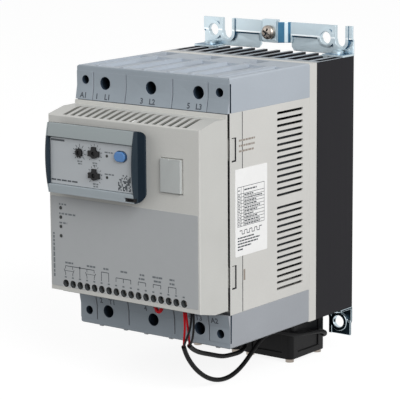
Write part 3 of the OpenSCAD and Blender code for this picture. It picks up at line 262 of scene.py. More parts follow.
def new_material(name):
    material = bpy.data.materials.new(name)
    material.use_nodes = True
    material.node_tree.nodes.clear()
    return material, material.node_tree


print("mid grey in linear light:", round(linear("#808080")[0], 3))

# %% [markdown]
# The housing is moulded from a glass-filled polymer in spark-eroded tools. The tool's fine pits
# leave a matt grain, and the flow of the melt leaves broad, very faint clouds. Flat colour with
# one roughness would look like paper, so a fine noise drives the roughness and the bump, and a
# broad one drifts the colour. The real grain is about 0.1 mm, too fine to show, so it is drawn
# at about a millimetre.

# %% A recipe for moulded plastic
CLOUD_MM = 28


def moulded(name, colour, grain_mm=1.1, roughness=0.5, pit_mm=0.03, cloud=0.05, gloss=0.4):
    material, tree = new_material(name)
    where = add(tree, "ShaderNodeTexCoord").outputs["Object"]
    grain = add(tree, "ShaderNodeTexNoise", {
        "Vector": where, "Scale": 1 / (grain_mm * MM), "Detail": 4.0, "Roughness": 0.6})
    clouds = add(tree, "ShaderNodeTexNoise", {
        "Vector": where, "Scale": 1 / (CLOUD_MM * MM), "Detail": 2.0})
    drift = add(tree, "ShaderNodeMix", {
        0: clouds.outputs["Fac"], 6: linear(colour, 1 - cloud), 7: linear(colour, 1 + cloud)},
        data_type="RGBA")
    speckle = add(tree, "ShaderNodeMix", {
        0: grain.outputs["Fac"], 6: linear("#e9e9e9"), 7: linear("#ffffff")}, data_type="RGBA")
    tone = add(tree, "ShaderNodeMix", {
        0: 0.5, 6: drift.outputs[2], 7: speckle.outputs[2]}, data_type="RGBA",
        blend_type="MULTIPLY")
    shine = add(tree, "ShaderNodeMapRange", {
        "Value": grain.outputs["Fac"], "To Min": roughness - 0.1, "To Max": roughness + 0.1})
    pits = add(tree, "ShaderNodeBump", {
        "Height": grain.outputs["Fac"], "Strength": 0.5, "Distance": pit_mm * MM})
    shader = add(tree, "ShaderNodeBsdfPrincipled", {
        "Base Color": tone.outputs[2], "Roughness": shine.outputs[0],
        "Normal": pits.outputs[0], "IOR": 1.53, "Specular IOR Level": gloss})
    add(tree, "ShaderNodeOutputMaterial", {"Surface": shader.outputs[0]})
    return material


print("cloud size:", CLOUD_MM, "mm")

# %% [markdown]
# With the recipe at hand, each moulding needs only its pigment and its shine. Deep recesses and the
# faces that turn away from the light get darker copies of their plastics as painted shade, because a
# lens sees them as clear lines and fields, and soft light alone would wash them out. A few faces in
# the light get paler copies as painted light.

# %% Moulded plastics
# Polycarbonate blend of the housing: a warm light grey that scatters light evenly
housing_plastic = moulded("housing_polycarbonate", "#dbdad6", roughness=0.55)
# The frame behind the cover is the same blend from another tool, a little greyer
frame_plastic = moulded("front_frame_polycarbonate", "#d6d6d2", roughness=0.55)
# The clip-on cover has a neutral grey pigment and a slightly finer grain
cover_plastic = moulded("cover_polycarbonate", "#cfcfcb", grain_mm=0.9, roughness=0.5)
# The hatch has a cooler, darker pigment, so that it stands out from the cover
hatch_plastic = moulded("hatch_polycarbonate", "#b8bcbb", grain_mm=0.9, roughness=0.5)
# Glass-filled polyamide of the terminal blocks: blue-grey, with fibres that dull the shine
block_plastic = moulded("terminal_polyamide", "#b6bec7", grain_mm=1.4, roughness=0.6, cloud=0.06)
# The lower block gets a darker, greyer copy of the block plastic: painted shade, as less light
# reaches it from above. The lower block comes from a second tool, whose colour is a little
# darker and greyer
lower_block_shade_plastic = moulded("terminal_polyamide_lower_shade", "#a7abb1", grain_mm=1.4, roughness=0.6,
                              cloud=0.06)
# Their front faces get a darker copy: painted shade on the faces that look to the front
block_front_shade_plastic = moulded("terminal_polyamide_front_shade", "#9ba5ae", grain_mm=1.4,
                              roughness=0.65, cloud=0.06)
# Deep in the screw wells and in the narrow grooves hardly any light is left
well_plastic = moulded("terminal_polyamide_wells", "#323f4d", roughness=0.7, gloss=0.1)
# The walls of the cover's vents lie in half shade and look dull and grey
slot_plastic = moulded("cover_polycarbonate_slots", "#8a8a85", roughness=0.7, gloss=0.1)
# Gaps and seams swallow nearly all the light and show as thin dark lines
gap_plastic = moulded("front_frame_gaps", "#3f4044", roughness=0.7, gloss=0.1)
# Dark blue ABS of the setting module, deep and nearly black in the shade
navy_plastic = moulded("module_abs", "#0d1c28", roughness=0.45, cloud=0.1, gloss=0.14)
# A paler copy paints the light on its faces that look to the front and on the edges of its right end
navy_lit_plastic = moulded("module_abs_lit", "#26323c", roughness=0.5, cloud=0.1, gloss=0.2)
# The bezel bands are fine-grained grey ABS with a soft sheen
bezel_plastic = moulded("bezel_abs", "#9aa3a5", grain_mm=0.8, roughness=0.42, cloud=0.03)
# A paler copy paints the light that falls on the lower band
low_bezel_lit_plastic = moulded("bezel_abs_lower_lit", "#adb7bd", grain_mm=0.8, roughness=0.42, cloud=0.03)
# Black polyamide of the dials, the port and the switch: dark, with a low gloss
black_plastic = moulded("black_polyamide", "#151517", roughness=0.42, cloud=0.12, gloss=0.2)
# The fans are glass-filled PBT, which stays black even in the light
fan_plastic = moulded("fan_pbt", "#08080a", roughness=0.38, cloud=0.12, gloss=0.14)
# Their rotors are a little paler and smoother, so that the blades can be told apart
rotor_plastic = moulded("rotor_polyamide", "#1c1d20", roughness=0.36, cloud=0.12, gloss=0.25)
# The control strip is a dull dark grey behind the cover's holes
strip_plastic = moulded("terminal_strip_polyamide", "#5c6163", roughness=0.55, cloud=0.08,
                        gloss=0.2)
# Relay cases are smooth and nearly black
relay_plastic = moulded("relay_case_pbt", "#20262e", roughness=0.35, cloud=0.08)
# Epoxy is cast over the thyristors and sets dull, with broad clouds
epoxy = moulded("thyristor_epoxy", "#3a3f45", roughness=0.5, cloud=0.1)
# Natural nylon is a creamy off-white with a waxy shine
nylon = moulded("natural_nylon", "#d6d0bf", roughness=0.4, cloud=0.06)
# Trimmers are moulded in a strong blue
trimmer_plastic = moulded("trimmer_pbt", "#2f4d86", roughness=0.35)
# The push button is polished, so its blue has a clear gloss
button_plastic = moulded("button_polished_abs", "#5286c2", grain_mm=2.5, roughness=0.25,
                         pit_mm=0.004, cloud=0.03)
# Its rim slopes away from the light and shows a deeper blue
button_rim_plastic = moulded("button_abs_rim", "#2f5783", grain_mm=2.5, roughness=0.3,
                             pit_mm=0.004, cloud=0.03)
print("moulded plastics:", len(bpy.data.materials))

# %% [markdown]
# The film on the cover and the one on the module's face are printed on their backs, so the eye
# sees a thin clear layer with a satin emboss over an even ink. The label is coated paper. All
# three could share the plastic recipe, but their grain is flatter and more even, and the ink
# shows screen dots, which are drawn coarser here than the real 0.15 mm.

# %% Films and paper
def printed(name, colour, roughness, dots_mm=0.8, fibre_mm=6, fibre=0.03):
    material, tree = new_material(name)
    where = add(tree, "ShaderNodeTexCoord").outputs["Object"]
    dots = add(tree, "ShaderNodeTexVoronoi", {"Vector": where, "Scale": 1 / (dots_mm * MM)})
    fibres = add(tree, "ShaderNodeTexNoise", {
        "Vector": where, "Scale": 1 / (fibre_mm * MM), "Detail": 5.0, "Roughness": 0.7})
    ink = add(tree, "ShaderNodeMix", {
        0: fibres.outputs["Fac"], 6: linear(colour, 1 - fibre), 7: linear(colour, 1 + fibre)},
        data_type="RGBA")
    shine = add(tree, "ShaderNodeMapRange", {
        "Value": dots.outputs["Distance"], "To Min": roughness - 0.06, "To Max": roughness + 0.06})
    emboss = add(tree, "ShaderNodeBump", {
        "Height": dots.outputs["Distance"], "Strength": 0.3, "Distance": 0.012 * MM})
    shader = add(tree, "ShaderNodeBsdfPrincipled", {
        "Base Color": ink.outputs[2], "Roughness": shine.outputs[0],
        "Normal": emboss.outputs[0], "IOR": 1.5})
    add(tree, "ShaderNodeOutputMaterial", {"Surface": shader.outputs[0]})
    return material


# Polyester film: even, cool grey and satin
cover_film = printed("polyester_film", "#adb0b2", 0.48)
# The film on the module's face is a shade paler
face_film = printed("module_polyester_film", "#b5babe", 0.45)
# Coated paper: almost white, with soft fibres
label_paper = printed("coated_paper", "#fafaf9", 0.6, fibre=0.05)
# Screen-printing ink: dark for rules and headings, a mid grey for small print
dark_ink = printed("dark_grey_ink", "#3b4147", 0.5)
grey_ink = printed("mid_grey_ink", "#666c70", 0.5)
# Pad-printing ink lies thin on the blocks and looks blue-black
block_ink = printed("pad_print_ink", "#3a414a", 0.55)
# Ink on the housing has faded to a warm grey
brown_ink = printed("faded_ink", "#948a81", 0.55)
print("films:", cover_film.name, face_film.name, label_paper.name)

# %% [markdown]
# The metals are a black anodised heatsink with sawn ends, zinc-plated sheet, plated screws and
# tinned bars. A metal is mostly what it reflects, so its colour hardly varies and its roughness
# does the work: streaks along the extrusion, cloudy passivation on zinc. The heatsink was
# anodised before it was cut to length, so faces that look up or down are bare aluminium.

# %% Recipes for metal
def metal(name, colour, tint, roughness, patch_mm=7.0, stretch=(1.0, 1.0, 1.0)):
    material, tree = new_material(name)
    where = add(tree, "ShaderNodeTexCoord").outputs["Object"]
    laid = add(tree, "ShaderNodeMapping", {"Vector": where, "Scale": stretch})
    patches = add(tree, "ShaderNodeTexNoise", {
        "Vector": laid.outputs[0], "Scale": 1 / (patch_mm * MM), "Detail": 5.0,
        "Roughness": 0.65})
    hue = add(tree, "ShaderNodeMix", {
        0: patches.outputs["Fac"], 6: linear(colour), 7: linear(tint)}, data_type="RGBA")
    shine = add(tree, "ShaderNodeMapRange", {
        "Value": patches.outputs["Fac"], "To Min": roughness - 0.12, "To Max": roughness + 0.12})
    dents = add(tree, "ShaderNodeBump", {
        "Height": patches.outputs["Fac"], "Strength": 0.25, "Distance": 0.02 * MM})
    shader = add(tree, "ShaderNodeBsdfPrincipled", {
        "Base Color": hue.outputs[2], "Roughness": shine.outputs[0],
        "Normal": dents.outputs[0], "Metallic": 1.0})
    add(tree, "ShaderNodeOutputMaterial", {"Surface": shader.outputs[0]})
    return material


def anodised_extrusion(name, black, bare, streak_mm=1.6):
    material, tree = new_material(name)
    coords = add(tree, "ShaderNodeTexCoord")
    along = add(tree, "ShaderNodeMapping", {
        "Vector": coords.outputs["Object"], "Scale": (1.0, 1.0, 0.02)})
    streaks = add(tree, "ShaderNodeTexNoise", {
        "Vector": along.outputs[0], "Scale": 1 / (streak_mm * MM), "Detail": 3.0})
    facing = add(tree, "ShaderNodeSeparateXYZ", {0: coords.outputs["Normal"]})
    steep = add(tree, "ShaderNodeMath", {0: facing.outputs["Z"]}, operation="ABSOLUTE")
    sawn = add(tree, "ShaderNodeMath", {0: steep.outputs[0], 1: 0.9}, operation="GREATER_THAN")
    oxide = add(tree, "ShaderNodeMix", {
        0: streaks.outputs["Fac"], 6: linear(black, 0.8), 7: linear(black, 1.25)},
        data_type="RGBA")
    colour = add(tree, "ShaderNodeMix", {
        0: sawn.outputs[0], 6: oxide.outputs[2], 7: linear(bare)}, data_type="RGBA")
    shine = add(tree, "ShaderNodeMapRange", {
        "Value": streaks.outputs["Fac"], "To Min": 0.38, "To Max": 0.55})
    lines = add(tree, "ShaderNodeBump", {
        "Height": streaks.outputs["Fac"], "Strength": 0.3, "Distance": 0.02 * MM})
    shader = add(tree, "ShaderNodeBsdfPrincipled", {
        "Base Color": colour.outputs[2], "Roughness": shine.outputs[0],
        "Metallic": sawn.outputs[0], "Normal": lines.outputs[0], "Specular IOR Level": 0.12})
    add(tree, "ShaderNodeOutputMaterial", {"Surface": shader.outputs[0]})
    return material


# Anodised aluminium: a dull, streaky black along the fins and bare silver on the sawn ends
heatsink_finish = anodised_extrusion("anodised_aluminium", "#151419", "#979ba0")
print("extrusion:", heatsink_finish.name)

# %% [markdown]
# The brackets are plated sheet, the screws plated steel and brass, and the bars rolled copper. One
# grey metal could serve them all, but plating is never one even grey: passivation turns zinc a cool
# blue and brass brown. Three copies of the zinc paint light and shade on the sheet: a deep blue and
# a near-black paint shade and dark reflections, and a near-white paints a highlight. So each has its
# own pair of colours, roughness and size of patch.

# %% Sheets, screws and bars
# Blue-passivated zinc: bright, cool, with faint cloudy patches
zinc = metal("zinc_plate", "#bccdd6", "#c9d5da", 0.38)
# A near-black copy of the zinc paints shade and dark reflections on the lower bracket, the fan plate
# and the earth screw's cross
shade_dark_zinc = metal("zinc_painted_dark_shade", "#1b2831", "#2b3b45", 0.36)
# A deep blue copy of the zinc paints shade and dark reflections where the sheet turns away from the
# light
shade_blue_zinc = metal("zinc_painted_blue_shade", "#2f5a78", "#4c7893", 0.36)
# Plated steel screws have picked up a warm tone
screw_steel = metal("plated_steel", "#8c837b", "#aaa299", 0.34, patch_mm=2.0)
# The earth screw is brass with a brown, patchy passivation and bright scuffs
earth_brass = metal("passivated_brass", "#6f655e", "#c9bfb5", 0.26, patch_mm=2.0)
# A near-white copy of the zinc paints a highlight along the bend
highlight_zinc = metal("zinc_painted_highlight", "#e9f3f7", "#f4fafc", 0.3)
# The control screws are plated bright and a little warm
terminal_steel = metal("bright_plated_steel", "#b9b2aa", "#d9d3cb", 0.4, patch_mm=1.5)
# The bars are rolled copper under a dull coat of tin
tinned_copper = metal("tinned_copper", "#85868a", "#9c9da0", 0.42, stretch=(1.0, 1.0, 0.1))
print("metals:", zinc.name, screw_steel.name, tinned_copper.name)

# %% [markdown]
# The cords have sheaths of PVC. It could be one flat black or red, but the extruder leaves faint
# rings, so a noise of about a millimetre and a half varies the colour and lifts the surface.

# %% Cord sheaths
def sheath(name, colour, roughness, ring_mm=1.5):
    material, tree = new_material(name)
    where = add(tree, "ShaderNodeTexCoord").outputs["Object"]
    rings = add(tree, "ShaderNodeTexNoise", {
        "Vector": where, "Scale": 1 / (ring_mm * MM), "Detail": 3.0})
    hue = add(tree, "ShaderNodeMix", {
        0: rings.outputs["Fac"], 6: linear(colour, 0.85), 7: linear(colour, 1.15)},
        data_type="RGBA")
    bumps = add(tree, "ShaderNodeBump", {
        "Height": rings.outputs["Fac"], "Strength": 0.4, "Distance": 0.03 * MM})
    shader = add(tree, "ShaderNodeBsdfPrincipled", {
        "Base Color": hue.outputs[2], "Roughness": roughness, "Normal": bumps.outputs[0],
        "IOR": 1.52, "Specular IOR Level": 0.12})
    add(tree, "ShaderNodeOutputMaterial", {"Surface": shader.outputs[0]})
    return material


# Black PVC shows little but its soft highlights, red PVC a full, strong colour
black_sheath = sheath("black_pvc", "#0d0d0e", 0.5)
red_sheath = sheath("red_pvc", "#c11622", 0.42)
for node, piece in cords.items():
    red = "red" in node or node == "link_wire"
    piece.data.materials.append(red_sheath if red else black_sheath)
print("cords finished:", len(cords))

# %% [markdown]
# The light pipes are clear acrylic. Glass that bends light could stand for it, but at this size only
# a dark body and a highlight show, so a smooth shader with a slight haze does. The boards are green
# laminate, and a brick pattern, turned to face the front, draws the tracks under the solder mask.

# %% Light pipes and boards
def light_pipe(name, colour, haze_mm=0.9):
    material, tree = new_material(name)
    where = add(tree, "ShaderNodeTexCoord").outputs["Object"]
    haze = add(tree, "ShaderNodeTexNoise", {"Vector": where, "Scale": 1 / (haze_mm * MM)})
    hue = add(tree, "ShaderNodeMix", {
        0: haze.outputs["Fac"], 6: linear(colour, 0.85), 7: linear(colour, 1.15)},
        data_type="RGBA")
    shader = add(tree, "ShaderNodeBsdfPrincipled", {
        "Base Color": hue.outputs[2], "Roughness": 0.2, "IOR": 1.58, "Specular IOR Level": 0.3})
    add(tree, "ShaderNodeOutputMaterial", {"Surface": shader.outputs[0]})
    return material


def laminate(name, mask, track, pitch_mm=8):
    material, tree = new_material(name)
    coords = add(tree, "ShaderNodeTexCoord").outputs["Object"]
    facing = add(tree, "ShaderNodeMapping", {
        "Vector": coords, "Rotation": (math.radians(90), 0.0, 0.0)})
    tracks = add(tree, "ShaderNodeTexBrick", {
        "Vector": facing.outputs[0], "Color1": linear(mask), "Color2": linear(mask, 0.85),
        "Mortar": linear(track), "Scale": 1 / (pitch_mm * MM), "Mortar Size": 0.04})
    shader = add(tree, "ShaderNodeBsdfPrincipled", {
        "Base Color": tracks.outputs["Color"], "Roughness": 0.35, "IOR": 1.55})
    add(tree, "ShaderNodeOutputMaterial", {"Surface": shader.outputs[0]})
    return material


# Unlit acrylic looks dark, with a clear highlight
pipe_finish = light_pipe("acrylic_light_pipe", "#2c302f")
# Solder mask over laminate is a smooth green, paler over the tracks
board_finish = laminate("solder_mask_laminate", "#2b6a44", "#3f8254")
print("light pipes and boards:", pipe_finish.name, board_finish.name)

# %% [markdown]
# Most CAD solids are already the right shape, so each keeps its solid and gets one of the
# finishes. A table of piece and finish says which.

# %% Finishes on the CAD solids
FINISHES = {
    heatsink_finish: ["heatsink"],
    housing_plastic: ["flange_frame", "rear_housing"],
    frame_plastic: ["front_frame"],
    cover_plastic: ["front_cover"],
    hatch_plastic: ["access_hatch"],
    block_plastic: ["upper_terminal_block"],
    lower_block_shade_plastic: ["lower_terminal_block"],
    screw_steel: ["power_screws", "aux_terminal_screws", "thyristor_screws",
                  "fan_screws", "clamp_plates"],
    earth_brass: ["earth_screw"],
    tinned_copper: ["upper_busbars", "lower_busbars"],
    epoxy: ["thyristor_module_1", "thyristor_module_2", "thyristor_module_3"],
    relay_plastic: ["bypass_relay_1", "bypass_relay_2", "bypass_relay_3"],
    board_finish: ["power_board", "control_board", "module_board"],
    nylon: ["board_spacers"],
    cover_film: ["cover_overlay"],
    pipe_finish: ["status_light_pipes", "module_lights"],
    strip_plastic: ["control_terminal_strip"],
    navy_plastic: ["module_body"],
    bezel_plastic: ["module_bezel"],
    face_film: ["module_face"],
    trimmer_plastic: ["trimmer_bases"],
    black_plastic: ["button_switch", "current_dial", "ramp_up_dial", "ramp_down_dial",
                    "service_port"],
    fan_plastic: ["left_fan_frame", "right_fan_frame"],
    rotor_plastic: ["left_fan_rotor", "right_fan_rotor"],
    button_plastic: ["reset_button"],
    label_paper: ["rating_label"],
    zinc: ["top_bracket", "bracket_screws", "earth_clamp"],
    shade_dark_zinc: ["bottom_bracket", "fan_plate"],
    terminal_steel: ["control_terminal_screws"],
}
finish_of = {node: finish for finish, members in FINISHES.items() for node in members}
for node, finish in finish_of.items():
    nodes[node].data.materials.clear()
    nodes[node].data.materials.append(finish)
print("CAD solids with a finish:", len(finish_of))

# %% [markdown]
# No moulding or pressing has a perfectly sharp edge: each has a small round that catches the
# light as a thin bright line. A Bevel modifier would round every edge, also the tiny ones, and
# the smallest would hold all the others back. So the edges are chosen first: outward corners,
# with room for the round beside them, in runs that are long enough to be seen.

# %% Choose the edges to round
SHARP, FOLDED, TURNING = math.radians(35), math.radians(150), math.radians(40)


def long_outward_edges(bm, shortest_run, room, shortest_edge):
    corners = [e for e in bm.edges if len(e.link_faces) == 2 and e.is_convex
               and e.calc_length() > shortest_edge and SHARP < e.calc_face_angle(0.0) < FOLDED]
    known = set(corners)

    def crowds(o, e, v):
        ahead = v.co - e.other_vert(v).co
        return o.calc_length() < room and (
            o not in known or ahead.angle(o.other_vert(v).co - v.co, 0.0) > TURNING)

    found = [e for e in corners if not any(
        crowds(o, e, v) for v in e.verts for o in v.link_edges if o is not e)]
    run_of = {}

    def root(v):
        while run_of.setdefault(v, v) is not v:
            v = run_of[v]
        return v

    for e in found:
        run_of[root(e.verts[0])] = root(e.verts[1])
    lengths = {}
    for e in found:
        key = root(e.verts[0])
        lengths[key] = lengths.get(key, 0.0) + e.calc_length()
    return [e for e in found if lengths[root(e.verts[0])] >= shortest_run]


print("corners from", round(math.degrees(SHARP)), "degrees on are rounded")

# %% [markdown]
# The vent slots in the cover's slope run on a little way behind its top edge. These ends could be
# painted dark, but light falls through a real opening, so a Boolean modifier lengthens the slots by
# seventeen boxes. They stand at the pitch of the control terminals far below them.

# %% Vents over the top of the slope
TERMINALS, PITCH = range(1, 18), 5.875
VENT_W, VENT_BACK_Y, SLOPE_TOP_Z = 2.8, (-13.6, -9.8), 143.6
VENT_Z = (SLOPE_TOP_Z - 3, SLOPE_TOP_Z + 2)


def as_mesh(bm, name):
    mesh = bpy.data.meshes.new(name)
    bm.to_mesh(mesh)
    bm.free()
    return mesh


def evaluated_mesh(thing):
    bpy.context.view_layer.update()
    return bpy.data.meshes.new_from_object(
        thing.evaluated_get(bpy.context.evaluated_depsgraph_get()))


def terminal(number):
    return (number - 9) * PITCH


def lengthen_vents(piece):
    bm = bmesh.new()
    for n in TERMINALS:
        low = at(terminal(n) - VENT_W / 2, VENT_BACK_Y[0], VENT_Z[0])
        high = at(terminal(n) + VENT_W / 2, VENT_BACK_Y[1], VENT_Z[1])
        for v in bmesh.ops.create_cube(bm, size=1.0)["verts"]:
            v.co = [b if side > 0 else a for a, b, side in zip(low, high, v.co)]
    cutter = new_object("vent_cutter", as_mesh(bm, "vent_cutter"))
    cut = piece.modifiers.new("vents", "BOOLEAN")
    cut.operation, cut.solver, cut.object = "DIFFERENCE", "EXACT", cutter
    piece.data = evaluated_mesh(piece)
    piece.modifiers.remove(cut)
    bpy.data.objects.remove(cutter)
    print(piece.name, "with longer vents:", len(piece.data.polygons), "faces")


print("vents from", terminal(TERMINALS[0]), "to", terminal(TERMINALS[-1]), "mm")

# %% [markdown]
# Now each moulding and pressing gets a copy that stands for its solid. The copy is merged, its flat
# faces are joined, and the chosen edges are rounded in three steps. On some pieces only the long
# straight edges have room, and a round of zero means smooth shading alone. A few flats are cut by
# planes, because they carry two tones, mostly a painted light or shade beside the plain finish. A
# weighted normal keeps the flats flat beside the rounds.

# %% Rounded copies of the mouldings
WELD_MM, FLAT, STEPS = 0.002, math.radians(0.6), 3
SHORTEST_RUN_MM, SHORTEST_STRAIGHT_MM, ROOM = 25.0, 3.0, 2.2
STRAIGHT_ONLY = ("front_cover", "lower_terminal_block", "rear_housing", "module_body",
                 "left_fan_frame", "right_fan_frame")
HAT_FOLDS_X, BANDS_Z, CAP_EDGES_Y = (8.6, 10.4), (98.8, 128.8), (-37.6, -30.8)
BEND_TOP_Z, GLINT_MM = 178.6, 1.1
CUTS = {"top_bracket": [(at(x, 0, 0), (1, 0, 0)) for x in HAT_FOLDS_X]
        + [(at(0, 0, z), (0, 0, 1)) for z in (BEND_TOP_Z, BEND_TOP_Z + GLINT_MM)],
        "module_body": [(at(0, 0, z), (0, 0, 1)) for z in BANDS_Z]
        + [(at(0, y, 0), (0, 1, 0)) for y in CAP_EDGES_Y]}


def rounded_copy(node, round_mm):
    mesh = nodes[node].data.copy()
    piece = new_object(node + "_rounded", mesh)
    bm = bmesh.new()
    bm.from_mesh(mesh)
    bmesh.ops.remove_doubles(bm, verts=bm.verts, dist=WELD_MM * MM)
    bmesh.ops.dissolve_limit(bm, angle_limit=FLAT, verts=bm.verts, edges=bm.edges,
                             use_dissolve_boundaries=False)
    shortest_edge = SHORTEST_STRAIGHT_MM if node in STRAIGHT_ONLY else 0.0
    room = 0.0 if node.endswith("dial") else ROOM * round_mm
    edges = long_outward_edges(bm, SHORTEST_RUN_MM * MM, room * MM, shortest_edge * MM)
    if round_mm:
        bmesh.ops.bevel(bm, geom=edges, offset=round_mm * MM, offset_type="OFFSET",
                        segments=STEPS, profile=0.5, affect="EDGES", clamp_overlap=True)
    for place, normal in CUTS.get(node, ()):
        bmesh.ops.bisect_plane(bm, geom=bm.verts[:] + bm.edges[:] + bm.faces[:],
                               plane_co=place, plane_no=normal)
    for f in bm.faces:
        f.smooth = True
    print(node, len(bm.faces), "faces,", len(edges) if round_mm else 0, "edges rounded")
    bm.to_mesh(mesh)
    bm.free()
    if node == "front_cover":
        lengthen_vents(piece)
    piece.data.set_sharp_from_angle(angle=SHARP)
    piece.modifiers.new("flats", "WEIGHTED_NORMAL").keep_sharp = True
    return stands_for(piece, node)


ROUNDS_MM = {
    "front_cover": 0.5, "upper_terminal_block": 0.35, "lower_terminal_block": 0.35,
    "rear_housing": 0.4, "flange_frame": 0.5, "front_frame": 0.3, "access_hatch": 0.4,
    "module_body": 0.4, "module_bezel": 0.3, "top_bracket": 0.5, "bottom_bracket": 0.3,
    "earth_clamp": 0.3, "earth_screw": 0.0, "left_fan_frame": 0.4, "right_fan_frame": 0.4,
    "left_fan_rotor": 0.0, "right_fan_rotor": 0.0, "reset_button": 0.0, "fan_plate": 0.2,
    "current_dial": 0.15, "ramp_up_dial": 0.2, "ramp_down_dial": 0.2, "service_port": 0.15,
}
rounded = {node: rounded_copy(node, size) for node, size in ROUNDS_MM.items()}

# %% [markdown]
# One moulding can show two finishes, and here the second one mostly paints light or shade: a darker
# front, a dark well, a rim that turns away, a bright line. It could be split into pieces, but it is
# one piece, so single faces get a second finish instead. Faces are chosen by where their middle lies
# on the bench, in millimetres, and by their normal: a y of minus one looks straight to the front, an
# x of one to the right, and a z of one up.
#
# On the terminal blocks all of these are painted shade: a darker plastic on the leaning fronts, and
# a dark one in the wells, the narrow grooves between the phases and the one at each corner.

# %% Second finishes of the terminal blocks
def second_finish(node, finish, chosen, below_mm2=math.inf):
    mesh = rounded[node].data
    mesh.materials.append(finish)
    faces = [f for f in mesh.polygons if f.area < below_mm2 * MM * MM
             and chosen(f.center / MM + FRAME_ORIGIN, f.normal)]
    for f in faces:
        f.material_index = len(mesh.materials) - 1
    print(node, "faces in", finish.name + ":", len(faces))


def near_axis(c, x, z, radius):
    return math.hypot(c.x - x, c.z - z) < radius


HALF_W, PHASES_X = 60.0, (-36.8, 0, 36.8)
WELLS = [(x, z, 6.7) for x in PHASES_X for z in (157.7, 10.3)]
WELLS += [(x, z, 4.4) for x in (-52.8, 52.8) for z in (159, 9)]
WELL_Y, CORNER_Y, CORNER_X = (0.35, 42), (0.4, 2.0), (HALF_W - 2.4, HALF_W - 0.01)
GROOVES_X, GROOVE_Y, GROOVE_REACH, GROOVE_MM2 = (-46.3, -19.9, 17, 44), (-1.6, 1.5), 0.42, 12


def in_recess(c, n):
    well = WELL_Y[0] < c.y < WELL_Y[1] and any(near_axis(c, *w) for w in WELLS)
    corner = CORNER_Y[0] < c.y < CORNER_Y[1] and CORNER_X[0] < abs(c.x) < CORNER_X[1]
    return well or corner


def in_groove(c, n):
    return GROOVE_Y[0] < c.y < GROOVE_Y[1] and any(
        abs(c.x - x) < GROOVE_REACH for x in GROOVES_X)


for node in ("upper_terminal_block", "lower_terminal_block"):
    second_finish(node, block_front_shade_plastic, lambda c, n: n.y < -0.7 and c.y < GROOVE_Y[1])
    second_finish(node, well_plastic, in_recess)
    second_finish(node, well_plastic, in_groove, below_mm2=GROOVE_MM2)

# %% [markdown]
# The cover's vents and control holes have walls in the shade, painted dull grey and dark grey.
# Behind the cover stands the front frame; a dark grey paints the shade in the gap along its lip and
# round the latch windows, and in the seam that runs down the side where the frame meets the housing.

# %% Second finishes of the cover, the frame and the housing
CONTROL_Z, CONTROL_HOLE_R = 33.0, 2.4
VENTS_X, VENTS_LOW_Z = 54, 132
SEAM_Y, SEAM_REACH = 13.4, 0.5
LATCHES_Z, LATCH_Y, LATCH_REACH = (44.8, 124), (2.5, 7.2), 7.5


def in_frame_gap(c, n):
    lip = n.y < -0.7 and c.y < 1
    latch = abs(n.x) < 0.5 and LATCH_Y[0] < c.y < LATCH_Y[1] and any(
        abs(c.z - z) < LATCH_REACH for z in LATCHES_Z)
    return lip or latch


second_finish("front_cover", slot_plastic, lambda c, n: abs(n.x) > 0.9 and abs(c.x) < VENTS_X
              and c.z > VENTS_LOW_Z)
second_finish("front_cover", gap_plastic, lambda c, n: abs(n.y) < 0.5 and any(
    near_axis(c, terminal(t), CONTROL_Z, CONTROL_HOLE_R + 0.1) for t in TERMINALS))
second_finish("front_frame", gap_plastic, in_frame_gap)
second_finish("rear_housing", gap_plastic, lambda c, n: n.y < -0.7
              and abs(c.y - SEAM_Y) < SEAM_REACH)

# %% [markdown]
# The upper bracket is bright zinc in the light. The sides of its hat, the rims round its openings,
# the underside of its bend and the tops of its feet get a deep blue as painted shade and dark
# reflection, and one bright line over the bend is a painted highlight. The lower bracket is painted
# near-black as shade, and plain zinc on its rounded edges and upward faces paints their highlights.
# The earth screw's cross is painted dark as shade.

# %% Second finishes of the brackets and the earth screw
HAT_SIDES_X = ((5.3, HAT_FOLDS_X[0]), (HAT_FOLDS_X[1], 11.8))
OPENINGS_X, RIM_REACH = (-51.5, -40, 40, 51.5), 6.7
BODY_H = 168.0
FOOT_TOP_Z, EARTH_X, EARTH_Z, CROSS_R = BODY_H + 3, -0.7, BODY_H + 12.6, 2.6


def turns_right(c, n):
    hat = n.x > 0.3 and any(low < c.x < high for low, high in HAT_SIDES_X)
    rim = n.x > 0.5 and any(0 < c.x - x < RIM_REACH for x in OPENINGS_X)
    return hat or rim


def over_the_bend(c, n):
    return n.y < -0.85 and abs(n.x) < 0.1 and (
        -0.45 < n.z < -0.05 or 0 < c.z - BEND_TOP_Z < GLINT_MM)


second_finish("top_bracket", shade_blue_zinc, turns_right)
second_finish("top_bracket", highlight_zinc, over_the_bend)
second_finish("top_bracket", shade_blue_zinc, lambda c, n: n.y < -0.1 and n.z < -0.45
              or n.z > 0.5 and c.z < FOOT_TOP_Z)
# Plain zinc on the lower bracket's rounded edges and upward faces paints their highlights
second_finish("bottom_bracket", zinc, lambda c, n: max(abs(v) for v in n) < 0.97 or n.z > 0.5)
# Dark zinc in the earth screw's cross paints the shade in its recess
second_finish("earth_screw", shade_dark_zinc, lambda c, n: abs(n.y) < 0.5
              and near_axis(c, EARTH_X, EARTH_Z, CROSS_R))

# %% [markdown]
# On the setting module a paler navy paints the light on the faces that look to the front and on the
# front and back edges of the right end cap, and the grey bands run on over the left cap, the lower
# one in a paler grey as painted light. A deeper blue paints the shade on the button's rim round its
# polished top.

# %% Second finishes of the module and the button
LEFT_CAP_X = -49.3


def on_left_cap(c, n):
    return n.y < -0.3 and c.x < LEFT_CAP_X


